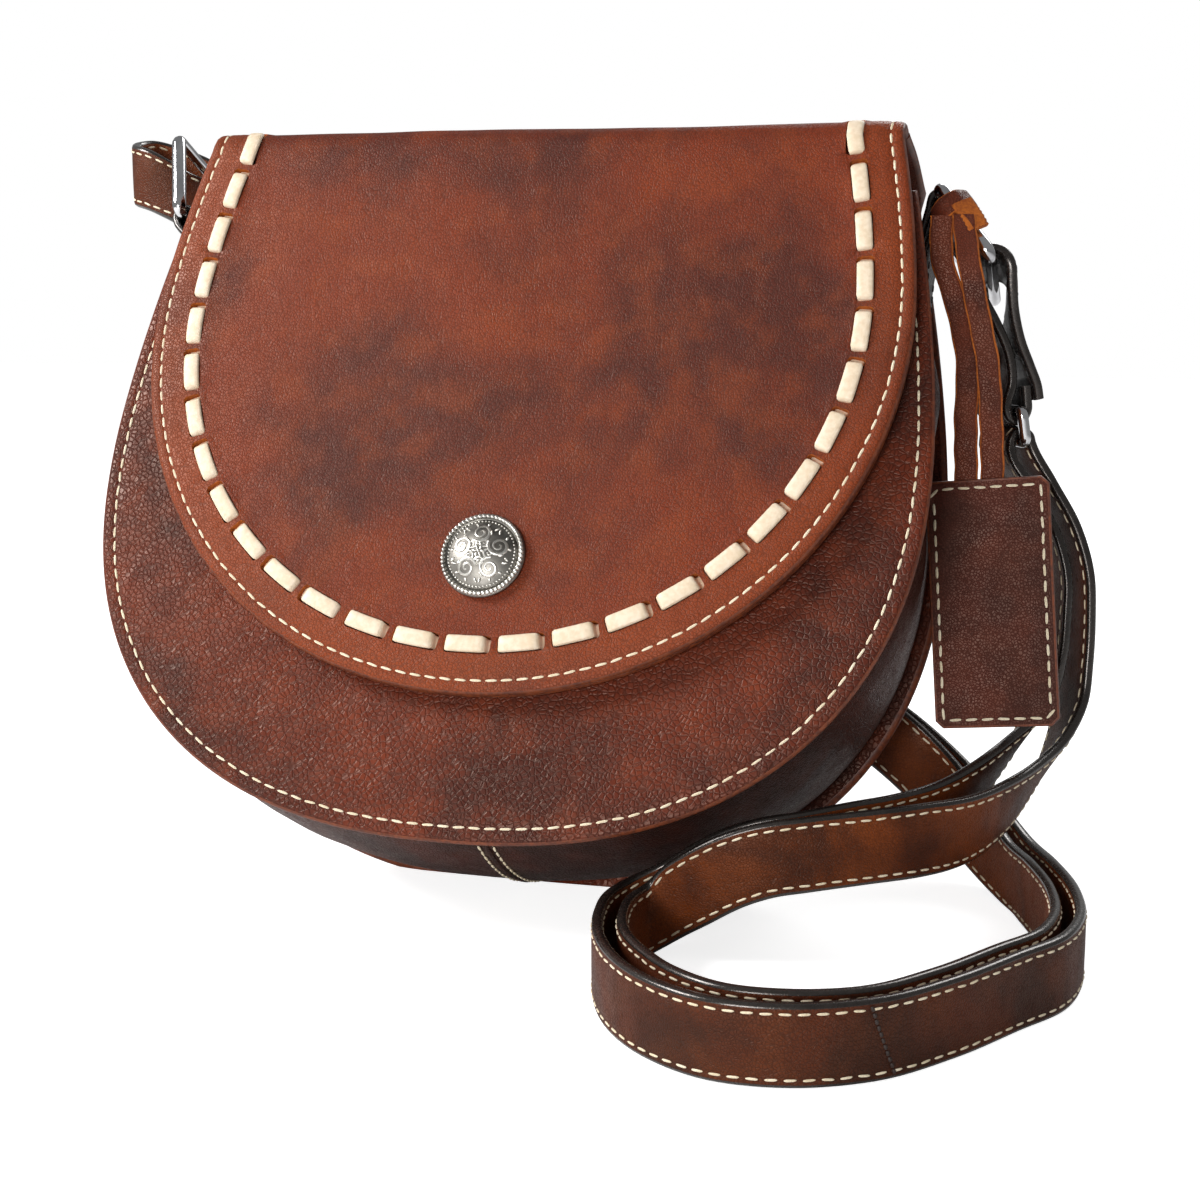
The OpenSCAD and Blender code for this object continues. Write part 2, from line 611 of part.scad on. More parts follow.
// The doubled strap's middle route. Each row has its place as shares of the loop's reach from the
// bag's right side, its height above the ground strap as a share of the drop, the direction across
// the strap, and the gap between the strands as a share of their least spacing.
drop_h = link_low.z - strap_w;
strand_gap = 2 * link_turn_r;
route_shares = [
    [0.213, 0.257, 0.889, -0.50, 0.86, 0.00, 1.00],
    [0.269, 0.254, 0.778, -0.50, 0.86, 0.00, 1.03],
    [0.299, 0.246, 0.667, -0.50, 0.86, 0.00, 1.12],
    [0.304, 0.239, 0.556, -0.50, 0.86, 0.00, 1.24],
    [0.301, 0.228, 0.444, -0.50, 0.86, -0.10, 1.36],
    [0.291, 0.213, 0.363, -0.45, 0.80, -0.35, 1.52],
    [0.261, 0.164, 0.299, -0.40, 0.70, -0.60, 1.60],
    [0.205, 0.071, 0.252, -0.30, 0.50, -0.80, 1.72],
    [0.142, -0.041, 0.221, -0.20, 0.25, -0.95, 1.76],
    [0.071, -0.153, 0.203, -0.10, 0.10, -1.00, 1.78],
    [-0.015, -0.254, 0.201, 0.00, 0.00, -1.00, 1.72],
    [-0.112, -0.336, 0.199, 0.00, 0.00, -1.00, 1.36],
    [-0.216, -0.392, 0.188, 0.10, 0.00, -0.99, 1.00],
    [-0.306, -0.414, 0.171, 0.25, 0.00, -0.97, 1.00],
    [-0.384, -0.416, 0.137, 0.40, 0.00, -0.92, 1.12],
    [-0.451, -0.409, 0.090, 0.42, 0.00, -0.91, 1.20],
    [-0.511, -0.399, 0.038, 0.22, 0.00, -0.98, 1.20],
    [-0.554, -0.422, 0.004, 0.00, 0.00, -1.00, 1.14],
    [-0.570, -0.470, 0.000, 0.00, 0.00, -1.00, 1.06],
    [-0.565, -0.593, 0.000, 0.00, 0.00, -1.00, 1.00],
    [-0.530, -0.713, 0.000, 0.00, 0.00, -1.00, 1.06],
    [-0.474, -0.810, 0.000, 0.00, 0.00, -1.00, 1.30],
    [-0.388, -0.903, 0.000, 0.00, 0.00, -1.00, 1.36],
    [-0.269, -0.965, 0.000, 0.00, 0.00, -1.00, 1.36],
    [-0.138, -0.961, 0.000, 0.00, 0.00, -1.00, 1.30],
    [-0.007, -0.903, 0.000, 0.00, 0.00, -1.00, 1.06],
    [0.112, -0.772, 0.000, 0.00, 0.00, -1.00, 1.00],
    [0.216, -0.612, 0.000, 0.00, 0.00, -1.00, 1.00],
    [0.291, -0.493, 0.000, 0.00, 0.00, -1.00, 1.00],
    [0.316, -0.373, 0.000, 0.00, 0.00, -1.00, 1.00],
    [0.302, -0.209, 0.000, 0.00, 0.00, -1.00, 1.00],
    [0.250, -0.030, 0.000, 0.00, 0.00, -1.00, 1.00],
    [0.190, 0.123, 0.000, 0.00, 0.00, -1.00, 1.00],
    [0.134, 0.231, 0.043, -0.30, 0.10, -0.95, 1.00],
    [0.063, 0.310, 0.115, -0.56, 0.14, -0.82, 1.00],
    [-0.090, 0.362, 0.253, -0.65, -0.05, -0.75, 1.00]];

// The stretch on the back panel up to the slider: place as shares of the half width and of the
// height, the distance behind the panel as a share of the strand gap, and the gap share
slider_x_share = 0.527;
slider_z_share = 0.455;
slider_rise_share = 0.76;
slider_x = slider_x_share * side_x;
slider_z = slider_z_share * bag_h;
slider_rise = slider_rise_share * strand_gap;
slider_gap_share = 1 + (link_d + seat) / strand_gap;
diagonal = sqrt(1 / 2);
back_across = along_back(-diagonal, -diagonal);
back_row_shares = [0.722, 0.344, 1.4, 1.2];
route = concat(
    [for (r = route_shares) [side_x + r[0] * loop_reach, r[1] * loop_reach, strap_w + r[2] * drop_h,
                             r[3], r[4], r[5], r[6]]],
    [concat(on_back(back_row_shares[0] * side_x, back_row_shares[1] * bag_h,
                    back_row_shares[2] * strand_gap),
            back_across, [back_row_shares[3]]),
     concat(on_back(slider_x, slider_z, slider_rise + slider_gap_share * strand_gap / 2),
            back_across, [slider_gap_share])]);

// One strand: its turn over the small ring's lower bar, then the route moved to its side
strand_turn_angles = [76, 38, 0];

function strand_rows(side) = let (out = unit_of(cross([0, 0, -1], across_drop))) concat(
    [for (a = strand_turn_angles)
        concat(link_low + link_turn_r * (side * cos(a) * out + [0, 0, sin(a)]), across_drop)],
    [for (i = [0:len(route) - 1])
        concat(edge_of(route[i]) + facing(route, i) * side * route[i][6] * strand_gap / 2,
               across_of(route[i]))]);

// The strap from the slider up to the left ring, where it turns round the ring's rear side.
// Each row has the place on the back panel as shares of the half width, the height and the gap.
climb_shares = [
    [0.369, 0.536, 0.44, -0.70, -0.72],
    [0.172, 0.640, 0.34, -0.68, -0.74],
    [-0.064, 0.747, 0.34, -0.66, -0.75],
    [-0.303, 0.843, 0.50, -0.55, -0.84],
    [-0.506, 0.908, 0.90, -0.43, -0.90],
    [-0.672, 0.950, 1.45, -0.43, -0.90]];

// The turn at the left ring, as shares of the ring's length from the middle of the ring's opening
turn_shares = [
    [0.798, 0.789, -0.253, -0.35, -0.29, -0.89],
    [0.001, 0.914, 0.301, -0.10, -0.20, -0.97],
    [-0.635, 0.857, 0.537, -0.10, -0.05, -0.99],
    [-0.956, 0.700, 0.637, 0.00, 0.00, -1.00],
    [-1.035, 0.450, 0.662, 0.00, 0.00, -1.00],
    [-0.949, 0.221, 0.658, 0.00, 0.00, -1.00],
    [-0.670, 0.092, 0.579, 0.00, -0.05, -1.00],
    [-0.420, 0.146, 0.437, 0.08, -0.20, -0.96],
    [-0.245, 0.296, 0.290, 0.18, -0.40, -0.90],
    [-0.092, 0.439, 0.222, 0.21, -0.45, -0.87],
    [0.155, 0.507, 0.154, 0.18, -0.42, -0.89],
    [0.448, 0.642, -0.017, -0.10, -0.34, -0.93],
    [0.787, 0.650, -0.228, -0.35, -0.29, -0.89],
    [1.258, 0.575, -0.460, -0.40, -0.28, -0.87]];

climb_rows = [for (r = climb_shares)
    concat(on_back(r[0] * side_x, r[1] * bag_h, r[2] * strand_gap), along_back(r[3], r[4]))];
turn_rows = [for (r = turn_shares)
    concat(ring_left_mid + ring_len * [r[0], r[1], r[2]], [r[3], r[4], r[5]])];

route_steps = 2;
inner_rings = strap_rings(smooth(concat(strand_rows(1), climb_rows, turn_rows), route_steps),
                          strap_w, strap_t);

// The outer strand ends in a fold round the slider's outer bar
slider_turn_angles = [90, 30, -30, -90];
slider_shift = link_turn_r / 2;
slider_tail_share = 0.6;
slider_tail_drop_share = 1.7;
slider_top = slider_rise + strand_gap * slider_gap_share;
slider_rows = let (r = link_turn_r)
    [for (a = slider_turn_angles)
        concat(on_back(slider_x - slider_shift - diagonal * r * cos(a),
                       slider_z + slider_shift + diagonal * r * cos(a),
                       slider_top - r + r * sin(a)), back_across)];
slider_tail = [concat(on_back(slider_x + slider_tail_share * strap_w, slider_z - slider_tail_share * strap_w,
                              slider_top - slider_tail_drop_share * link_turn_r), back_across)];
outer_rings = strap_rings(smooth(concat(strand_rows(-1), slider_rows, slider_tail), route_steps),
                          strap_w, strap_t);

// Places where the strands are cut into their stretches
drop_rows = 20;
loop_rows = 35;
rise_rows = 40;
drop_end = drop_rows * route_steps;
loop_end = loop_rows * route_steps;
rise_end = rise_rows * route_steps;

module strap_inner_drop() {
    color("#7d4123") skin(part_of(inner_rings, 0, drop_end));
}

module strap_inner_loop() {
    color("#7d4123") skin(part_of(inner_rings, drop_end, loop_end));
}

module strap_inner_rise() {
    color("#7d4123") skin(part_of(inner_rings, loop_end, rise_end));
}

module strap_outer_drop() {
    color("#7d4123") skin(part_of(outer_rings, 0, drop_end));
}

module strap_outer_loop() {
    color("#7d4123") skin(part_of(outer_rings, drop_end, loop_end));
}

module strap_outer_rise() {
    color("#7d4123") skin(part_of(outer_rings, loop_end, len(outer_rings) - 1));
}

module strap_back() {
    color("#7d4123") skin(part_of(inner_rings, rise_end, len(inner_rings) - 1));
}

rivet_d = 3;
rivet_head_d = 7.5;
rivet_head_t = 1;

// A shank of the given length with a low round head on each end, starting below the origin
module rivet(length, below) {
    translate([0, 0, -below]) cylinder(d = rivet_d, h = length, $fn = round_fn);
    for (h = [-below - rivet_head_t, length - below]) translate([0, 0, h])
        cylinder(d = rivet_head_d, h = rivet_head_t, $fn = round_fn);
}

// The end of the strap is riveted back onto itself behind the left ring
module strap_back_rivet() {
    end = len(turn_rows) - 1;
    mid = (edge_of(turn_rows[end]) + edge_of(turn_rows[end - 1])) / 2
        + unit_of(across_of(turn_rows[end])) * strap_w / 2;
    color("#b9b6ae") translate(mid) rotate([-back_lean, 0, 0]) rotate([-90, 0, 0])
        rivet(2 * strap_t + 4 * seat, strap_t / 2);
}

// The slider is a square metal loop round both strands
slider_bar_share = 0.7;
slider_bar = slider_bar_share * link_d;

module slider() {
    low = seat;
    high = slider_top - link_turn_r + slider_bar / 2;
    color("#d8d8da") behind() translate([slider_x - slider_shift, 0, slider_z + slider_shift])
        rotate([0, 135, 0]) linear_extrude(slider_bar, center = true) difference() {
            translate([-seat - slider_bar, low]) square([strap_w + 2 * seat + 2 * slider_bar, high - low]);
            translate([-seat, low + slider_bar])
                square([strap_w + 2 * seat, high - low - 2 * slider_bar]);
        }
}

module strap_ring() {
    color("#d8d8da") translate(link_low + across_drop * strap_w / 2) rotate([0, link_tilt, link_turn])
        wire_ring(link_len, strap_w + 2 * seat + link_side_d, link_d, link_side_d);
}

// The short strap: its tip, over the right ring's far bar, down and round the small ring.
// Each row has its place sideways as a share of the strap's width and upwards from the small ring.
bar_dir = [0, cos(lean), -sin(lean)];
short_top = ring_right_end - bar_dir * strap_w / 2;
short_span = short_top - link_high;
ring_swing = 4;
short_eye_r = ring_bar_d / 2 + strap_t / 2 + ring_len * sin(ring_swing) + seat;
short_tip_shares = [[0.225, 0.20], [0.22, 0.33], [0.20, 0.50], [0.21, 0.70], [0.24, 0.86]];
short_inner_shares = [[-0.21, 0.80], [-0.06, 0.58], [0.03, 0.38], [0.01, 0.20]];
short_end_shares = [[0.185, 0.09], [0.20, 0.165]];
short_top_angles = [20, 55, 90, 125, 160, 190];
short_low_angles = [190, 230, 270, 310, 350];

function short_across(v) = unit_of(across_drop * (1 - v) + bar_dir * v);
function short_side(v) = unit_of(cross(short_across(v), [0, 0, 1]));
function short_row(r) = concat(link_high + r[1] * short_span + r[0] * strap_w * short_side(r[1]),
                               short_across(r[1]));
function short_turn(centre, r, angles, v) = let (up = cross(short_side(v), short_across(v)))
    [for (a = angles) concat(centre + r * (cos(a) * short_side(v) + sin(a) * up), short_across(v))];
short_rows = concat(
    [for (r = short_tip_shares) short_row(r)],
    short_turn(short_top, short_eye_r, short_top_angles, 1),
    [for (r = short_inner_shares) short_row(r)],
    short_turn(link_high, link_turn_r, short_low_angles, 0),
    [for (r = short_end_shares) short_row(r)]);

module strap_short() {
    color("#32281f") skin(strap_rings(smooth(short_rows, route_steps), strap_w, strap_t));
}

short_rivet_share = 0.42;
short_rivet_side_share = 0.1;

module strap_short_rivet() {
    across = short_across(short_rivet_share);
    out = unit_of(cross(short_span, across));
    mid = link_high + short_rivet_share * short_span + across * strap_w / 2
        + [short_rivet_side_share * strap_w, 0, 0];
    length = 2 * strap_t + 4 * seat;
    color("#b9b6ae") translate(mid) rotate([0, acos(out.z), atan2(out.y, out.x)]) rivet(length, length / 2);
}

// Hangtag: its thong is wrapped loosely round the front side of the right ring, and it swings there

wrap_share = 0.3;
wrap_r = 4.4;
wrap_seat = 0.95;
ring_dir = [sin(ring_right_angle), cos(ring_right_angle) * sin(lean), cos(ring_right_angle) * cos(lean)];
wrap_mid = to_world([ring_right_x, ring_mid_y - ring_w / 2, ring_right_h]) + ring_dir * wrap_share * ring_len
    - [0, 0, wrap_r - ring_side_d / 2 - wrap_seat];
tag_tilt = 5.1;
tag_lean = 8;
tag_right = 14.7;
tag_forward = 15.5;
tag_drop = 79.7;
tag_top = wrap_mid + [tag_right, -tag_forward, -tag_drop];

// Left edges of the two legs: places from the wrap's middle towards the tag's upper edge, as shares
// of the tag's width sideways and forwards and of the drop downwards
left_leg_shares = [[-0.19, 0.17, 0.02], [-0.18, 0.20, 0.16], [-0.03, 0.22, 0.36],
                   [0.08, 0.32, 0.55], [0.09, 0.40, 0.76], [0.13, 0.46, 0.985]];
right_leg_shares = [[0.00, 0.22, 0.02], [0.05, 0.34, 0.14], [0.16, 0.40, 0.36],
                    [0.26, 0.42, 0.55], [0.31, 0.44, 0.76], [0.35, 0.46, 0.985]];
thong_drop = wrap_mid.z - tag_top.z;

module thong() {
    color("#733c2c") union() {
        translate(wrap_mid) rotate([0, acos(ring_dir.z), atan2(ring_dir.y, ring_dir.x)]) difference() {
            cylinder(r = wrap_r + thong_t, h = thong_w, center = true, $fn = round_fn);
            cylinder(r = wrap_r, h = thong_w + cut, center = true, $fn = round_fn);
        }
        for (leg = [left_leg_shares, right_leg_shares])
            skin(strap_rings(smooth([for (r = leg)
                [wrap_mid.x + r[0] * tag_w, wrap_mid.y - r[1] * tag_w, wrap_mid.z - r[2] * thong_drop,
                 1, 0, 0]],
                route_steps), thong_w, thong_t));
    }
}

// One ply of the tag, with its front face at the depth y from the tag's middle plane
module tag_plate(y) {
    translate(tag_top) rotate([-tag_lean, -tag_tilt, 0]) plate(y, tag_ply)
        polygon([[-tag_w / 2 + tag_corner, 0], [tag_w / 2 - tag_corner, 0], [tag_w / 2, -tag_corner],
                 [tag_w / 2, -tag_h + tag_corner], [tag_w / 2 - tag_corner, -tag_h],
                 [-tag_w / 2 + tag_corner, -tag_h], [-tag_w / 2, -tag_h + tag_corner],
                 [-tag_w / 2, -tag_corner]]);
}

module hangtag() {
    color("#5f3228") tag_plate(-tag_ply);
}

module hangtag_back() {
    color("#5f3228") tag_plate(0);
}

front_panel();
back_panel();
gusset_left();
gusset_right();
lining();
slip_pocket();
flap_root();
flap_top();
flap();
flap_backing();
flap_lace();
concho();
concho_screw();
magnet_flap();
magnet_front();
magnet_washer();
tab_left();
tab_right();
ring_left();
ring_right();
strap_short();
strap_short_rivet();
strap_ring();
strap_inner_drop();
strap_inner_loop();
strap_inner_rise();
strap_outer_drop();
strap_outer_loop();
strap_outer_rise();
strap_back();
strap_back_rivet();
slider();
thong();
hangtag();
hangtag_back();
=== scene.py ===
# Leather crossbody bag: the detailed pieces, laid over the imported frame. Lengths are in millimetres
# until a piece is finished, which turns them into metres.
import math
import random

import bmesh
import bpy
import numpy as np
from mathutils import Matrix, Vector, kdtree, noise


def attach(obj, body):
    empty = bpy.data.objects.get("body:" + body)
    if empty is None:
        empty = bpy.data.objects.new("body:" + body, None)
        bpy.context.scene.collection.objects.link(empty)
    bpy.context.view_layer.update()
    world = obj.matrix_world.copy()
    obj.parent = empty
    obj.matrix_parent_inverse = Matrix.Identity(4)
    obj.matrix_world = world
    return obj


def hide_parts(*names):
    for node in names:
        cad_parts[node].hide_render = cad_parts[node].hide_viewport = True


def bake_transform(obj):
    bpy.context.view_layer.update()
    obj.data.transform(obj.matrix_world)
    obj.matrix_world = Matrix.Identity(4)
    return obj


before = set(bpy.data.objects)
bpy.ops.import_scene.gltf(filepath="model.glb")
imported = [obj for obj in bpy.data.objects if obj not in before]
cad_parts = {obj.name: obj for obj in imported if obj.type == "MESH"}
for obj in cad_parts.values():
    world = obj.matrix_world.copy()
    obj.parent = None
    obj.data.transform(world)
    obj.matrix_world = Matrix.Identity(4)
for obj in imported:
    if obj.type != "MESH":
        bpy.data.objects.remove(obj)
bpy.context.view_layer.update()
draw = random.Random(7)

# ---------------------------------------------------------------- sizes of the bag
PANEL_W, BELLY_H, FRONT_H, BAG_H = 256.0, 118.0, 204.0, 225.0
BASE_DEPTH, TOP_DEPTH, LEATHER_T, GUSSET_T, GUSSET_INSET, GUSSET_BELLY = 78.0, 40.0, 3.0, 2.5, 5.0, 6.5
LEAN, SQUASH = math.radians(27.2), 3.6
FLAP_W, FLAP_BELLY, FLAP_LOW, FLAP_SHIFT, FOLD_R, FLAP_GAP, BACKING_T = 238.0, 160.0, 41.0, 1.5, 8.0, 2.7, 2.3
STRAP_W, STRAP_T, REACH = 21.0, 3.0, 134.0
RING_LEN, RING_W, RING_BAR, RING_SIDE = 28.0, 31.0, 3.6, 4.8
RING_RIGHT_H, RING_LEFT_H, LINK_D = 211.0, 205.5, 3.0
LACE_W, LACE_T, WINDOW, PITCH, LACE_INSET = 4.8, 1.0, 12.4, 15.9, 14.5
CONCHO_H, MAGNET_D = 82.0, 18.0
TAG_W, TAG_H, TAG_PLY, THONG_W = 34.0, 72.0, 1.5, 7.0
TAG_WIDE, TAG_TALL, TAG_CUT = 36.2, 73.6, 2.2
SEAT = 0.3
SIDE_X = PANEL_W / 2
PANEL_ANGLE = math.atan((BASE_DEPTH - TOP_DEPTH) / BAG_H)
BACK_LEAN = LEAN - PANEL_ANGLE
PANEL_TAPER, FLAP_TAPER, PANEL_POWER, FLAP_POWER = 0.043 * PANEL_W, 0.039 * FLAP_W, 2.35, 2.05
FACE_Y = -BASE_DEPTH - FLAP_GAP - BACKING_T - LEATHER_T
FOLD_Y, FOLD_Z = FACE_Y + FOLD_R, BAG_H - FOLD_R
ROOT_Z = (BAG_H - LEATHER_T - SEAT) / math.cos(PANEL_ANGLE) - LEATHER_T * math.tan(PANEL_ANGLE)
STITCH, THREAD = 4.6, 0.42

LEANING = Matrix.Translation((0, 0, -SQUASH)) @ Matrix.Rotation(-LEAN, 4, "X")
BEHIND = Matrix.Translation((0, 0, -SQUASH)) @ Matrix.Rotation(-BACK_LEAN, 4, "X")


def to_world(x, y, z):
    return LEANING @ Vector((x, y, z))


def side_half(a, taper, mid, span, z):
    return a - taper * (max(0.0, z - mid) / span) ** 1.6


def panel_half(z, inset=0.0):
    return side_half(SIDE_X - inset, PANEL_TAPER, BELLY_H, FRONT_H - BELLY_H, z)


def lower(a, b, mid, power, degrees):
    """A place on the round lower half of an outline, from straight below at 0 degrees to its right end at 90."""
    turn = math.radians(degrees)
    return (math.copysign(a * abs(math.sin(turn)) ** (2 / power), math.sin(turn)),
            mid - b * abs(math.cos(turn)) ** (2 / power))


def mirrored(right):
    return [(-x, z) for x, z in reversed(right)]


def outline(a, b, mid, power, taper, span, top, round_steps=96, side_steps=18):
    """One closed outline, from the left belly round the bottom to the right belly and over the top."""
    right = [(side_half(a, taper, mid, span, z), z)
             for z in (mid + (top - mid) * i / side_steps for i in range(1, side_steps + 1))]
    round_part = [lower(a, b, mid, power, -90 + 180 * i / round_steps) for i in range(round_steps + 1)]
    return round_part + right + mirrored(right)


def panel_outline(inset, top, *steps):
    return outline(SIDE_X - inset, BELLY_H - inset, BELLY_H, PANEL_POWER, PANEL_TAPER, FRONT_H - BELLY_H, top - inset,
                   *steps)


def flap_half(inset, s):
    return side_half(FLAP_W / 2 - inset, FLAP_TAPER, FLAP_BELLY, BAG_H - FLAP_BELLY, min(s, FOLD_Z))


# ---------------------------------------------------------------- materials
def shade(r, g, b):
    return tuple(((v / 255 + 0.055) / 1.055) ** 2.4 if v > 10 else v / 3294.6 for v in (r, g, b)) + (1.0,)


def node(tree, kind, **settings):
    made = tree.nodes.new(kind)
    for key, value in settings.items():
        setattr(made, key, value)
    return made


def set_sockets(made, **values):
    for key, value in values.items():
        made.inputs[key.replace("_", " ")].default_value = value
    return made


def math_node(tree, operation, a, b, clamp=False):
    made = node(tree, "ShaderNodeMath", operation=operation, use_clamp=clamp)
    for socket, value in zip(made.inputs, (a, b)):
        if isinstance(value, (int, float)):
            socket.default_value = value
        else:
            tree.links.new(value, socket)
    return made.outputs[0]


def mix_colour(tree, amount, a, b, blend="MIX"):
    made = node(tree, "ShaderNodeMix", data_type="RGBA", blend_type=blend)
    for socket, value in zip((made.inputs[0], made.inputs[6], made.inputs[7]), (amount, a, b)):
        if isinstance(value, (int, float, tuple)):
            socket.default_value = value
        else:
            tree.links.new(value, socket)
    return made.outputs[2]


def ramp(tree, value, low, high):
    made = node(tree, "ShaderNodeMapRange", interpolation_type="SMOOTHSTEP")
    set_sockets(made, From_Min=low, From_Max=high)
    tree.links.new(value, made.inputs["Value"])
    return made.outputs["Result"]


def texture(tree, kind, vector, scale, **settings):
    made = node(tree, kind, **settings)
    made.inputs["Scale"].default_value = scale
    tree.links.new(vector, made.inputs["Vector"])
    return made


def new_group(name, inputs, outputs):
    group = bpy.data.node_groups.new(name, "ShaderNodeTree")
    for label, kind in inputs:
        group.interface.new_socket(name=label, in_out="INPUT", socket_type=kind)
    for label, kind in outputs:
        group.interface.new_socket(name=label, in_out="OUTPUT", socket_type=kind)
    return group, node(group, "NodeGroupInput"), node(group, "NodeGroupOutput")


FLOAT, COLOUR = "NodeSocketFloat", "NodeSocketColor"


def make_leather_group():
    """Pebbled hide: blotches of two colours, a worn tone, and painted shade that darkens the creases between the
    pebbles.
    """
    group, inp, out = new_group(
        "pebbled_hide",
        [("Light", COLOUR), ("Dark", COLOUR), ("Worn", COLOUR), ("Pebble", FLOAT), ("Depth", FLOAT),
         ("Roughness", FLOAT), ("Blotch", FLOAT)],
        [("Color", COLOUR), ("Roughness", FLOAT), ("Normal", "NodeSocketVector")])
    where = node(group, "ShaderNodeTexCoord").outputs["Object"]
    drift = texture(group, "ShaderNodeTexNoise", where, 260.0)
    shifted = node(group, "ShaderNodeVectorMath", operation="MULTIPLY_ADD")
    group.links.new(drift.outputs["Color"], shifted.inputs[0])
    shifted.inputs[1].default_value = (0.0007, 0.0007, 0.0014)
    group.links.new(where, shifted.inputs[2])
    cells = texture(group, "ShaderNodeTexVoronoi", shifted.outputs[0], 900.0, feature="DISTANCE_TO_EDGE")
    group.links.new(inp.outputs["Pebble"], cells.inputs["Scale"])
    pebble = ramp(group, cells.outputs["Distance"], -0.03, 0.20)
    fine = texture(group, "ShaderNodeTexNoise", where, 2600.0)
    broad = texture(group, "ShaderNodeTexNoise", where, 170.0)
    wrinkle = texture(group, "ShaderNodeTexNoise", where, 60.0)
    set_sockets(wrinkle, Detail=4.0, Distortion=1.2)
    blotch = texture(group, "ShaderNodeTexNoise", where, 16.0)
    group.links.new(inp.outputs["Blotch"], blotch.inputs["Scale"])
    set_sockets(blotch, Detail=3.0, Roughness=0.55, Distortion=0.4)
    small = texture(group, "ShaderNodeTexNoise", where, 90.0)
    tone = node(group, "ShaderNodeAttribute", attribute_name="tone")
    patch = ramp(group, blotch.outputs["Fac"], 0.40, 0.64)
    base = mix_colour(group, patch, inp.outputs["Light"], inp.outputs["Dark"])
    speck = math_node(group, "MULTIPLY", ramp(group, small.outputs["Fac"], 0.42, 0.72), 0.35)
    base = mix_colour(group, speck, base, inp.outputs["Worn"])
    base = mix_colour(group, math_node(group, "MULTIPLY", tone.outputs["Fac"], 0.9, True), base, inp.outputs["Worn"])
    # Painted shade: the colour is darkened by up to 42% in the creases between the pebbles.
    painted_crease_shade = math_node(group, "MULTIPLY_ADD", pebble, 0.42)
    painted_crease_shade.node.inputs[2].default_value = 0.58
    painted_crease_grey = node(group, "ShaderNodeCombineColor")
    for socket in painted_crease_grey.inputs[:3]:
        group.links.new(painted_crease_shade, socket)
    colour = mix_colour(group, 1.0, base, painted_crease_grey.outputs[0], "MULTIPLY")
    group.links.new(colour, out.inputs["Color"])
    rough = math_node(group, "ADD", inp.outputs["Roughness"],
                      math_node(group, "MULTIPLY", math_node(group, "SUBTRACT", broad.outputs["Fac"], 0.5), 0.30))
    rough = math_node(group, "ADD", rough,
                      math_node(group, "MULTIPLY", math_node(group, "SUBTRACT", 1.0, pebble), 0.18), True)
    group.links.new(rough, out.inputs["Roughness"])
    height = math_node(group, "MULTIPLY", pebble, 0.5)
    for part, amount in ((fine, 0.06), (broad, 0.9), (wrinkle, 1.3)):
        height = math_node(group, "ADD", height, math_node(group, "MULTIPLY", part.outputs["Fac"], amount))
    bump = node(group, "ShaderNodeBump")
    set_sockets(bump, Distance=0.0006)
    group.links.new(inp.outputs["Depth"], bump.inputs["Strength"])
    group.links.new(height, bump.inputs["Height"])
    group.links.new(bump.outputs["Normal"], out.inputs["Normal"])
    return group


LEATHER_GROUP = make_leather_group()


def blank_material(name, viewport):
    made = bpy.data.materials.new(name)
    made.use_nodes = True
    made.diffuse_color = viewport
    return made, made.node_tree, made.node_tree.nodes["Principled BSDF"]


def add_bump(tree, skin, height, strength, distance):
    bump = node(tree, "ShaderNodeBump")
    set_sockets(bump, Strength=strength, Distance=distance)
    tree.links.new(height, bump.inputs["Height"])
    tree.links.new(bump.outputs["Normal"], skin.inputs["Normal"])


def leather(name, light, dark, worn, pebble, depth, rough, blotch, coat=0.0):
    made, tree, skin = blank_material(name, shade(*light))
    grain = node(tree, "ShaderNodeGroup", node_tree=LEATHER_GROUP)
    set_sockets(grain, Light=shade(*light), Dark=shade(*dark), Worn=shade(*worn), Pebble=pebble, Depth=depth,
                Roughness=rough, Blotch=blotch)
    for label, socket in (("Color", "Base Color"), ("Roughness", "Roughness"), ("Normal", "Normal")):
        tree.links.new(grain.outputs[label], skin.inputs[socket])
    set_sockets(skin, Coat_Weight=coat, Coat_Roughness=0.25, Specular_IOR_Level=0.3,
                Specular_Tint=(1.0, 0.78, 0.64, 1.0))
    return made


def rough_fibre(name, light, dark, scale, rough, depth):
    """Raw hide, thread and cut edges: short fibres of two colours."""
    made, tree, skin = blank_material(name, shade(*light))
    where = node(tree, "ShaderNodeTexCoord").outputs["Object"]
    fibre = texture(tree, "ShaderNodeTexNoise", where, scale)
    set_sockets(fibre, Detail=3.0)
    broad = texture(tree, "ShaderNodeTexNoise", where, 130.0)
    amount = math_node(tree, "ADD", math_node(tree, "MULTIPLY", fibre.outputs["Fac"], 0.6),
                       math_node(tree, "MULTIPLY", broad.outputs["Fac"], 0.4))
    tree.links.new(mix_colour(tree, ramp(tree, amount, 0.35, 0.65), shade(*light), shade(*dark)),
                   skin.inputs["Base Color"])
    add_bump(tree, skin, fibre.outputs["Fac"], depth, 0.0002)
    set_sockets(skin, Roughness=rough)
    return made


def metal(name, bright, dull, rough, scratch, bump_depth):
    """Plated wire and cast silver: a slightly uneven polish with tarnish in soft clouds."""
    made, tree, skin = blank_material(name, shade(*bright))
    where = node(tree, "ShaderNodeTexCoord").outputs["Object"]
    cloud = texture(tree, "ShaderNodeTexNoise", where, 140.0)
    set_sockets(cloud, Detail=5.0)
    fine = texture(tree, "ShaderNodeTexNoise", where, 1500.0)
    tree.links.new(mix_colour(tree, ramp(tree, cloud.outputs["Fac"], 0.4, 0.75), shade(*bright), shade(*dull)),
                   skin.inputs["Base Color"])
    polish = math_node(tree, "ADD", rough, math_node(tree, "MULTIPLY", cloud.outputs["Fac"], scratch))
    tree.links.new(polish, skin.inputs["Roughness"])
    add_bump(tree, skin, fine.outputs["Fac"], bump_depth, 0.0001)
    set_sockets(skin, Metallic=1.0)
    return made


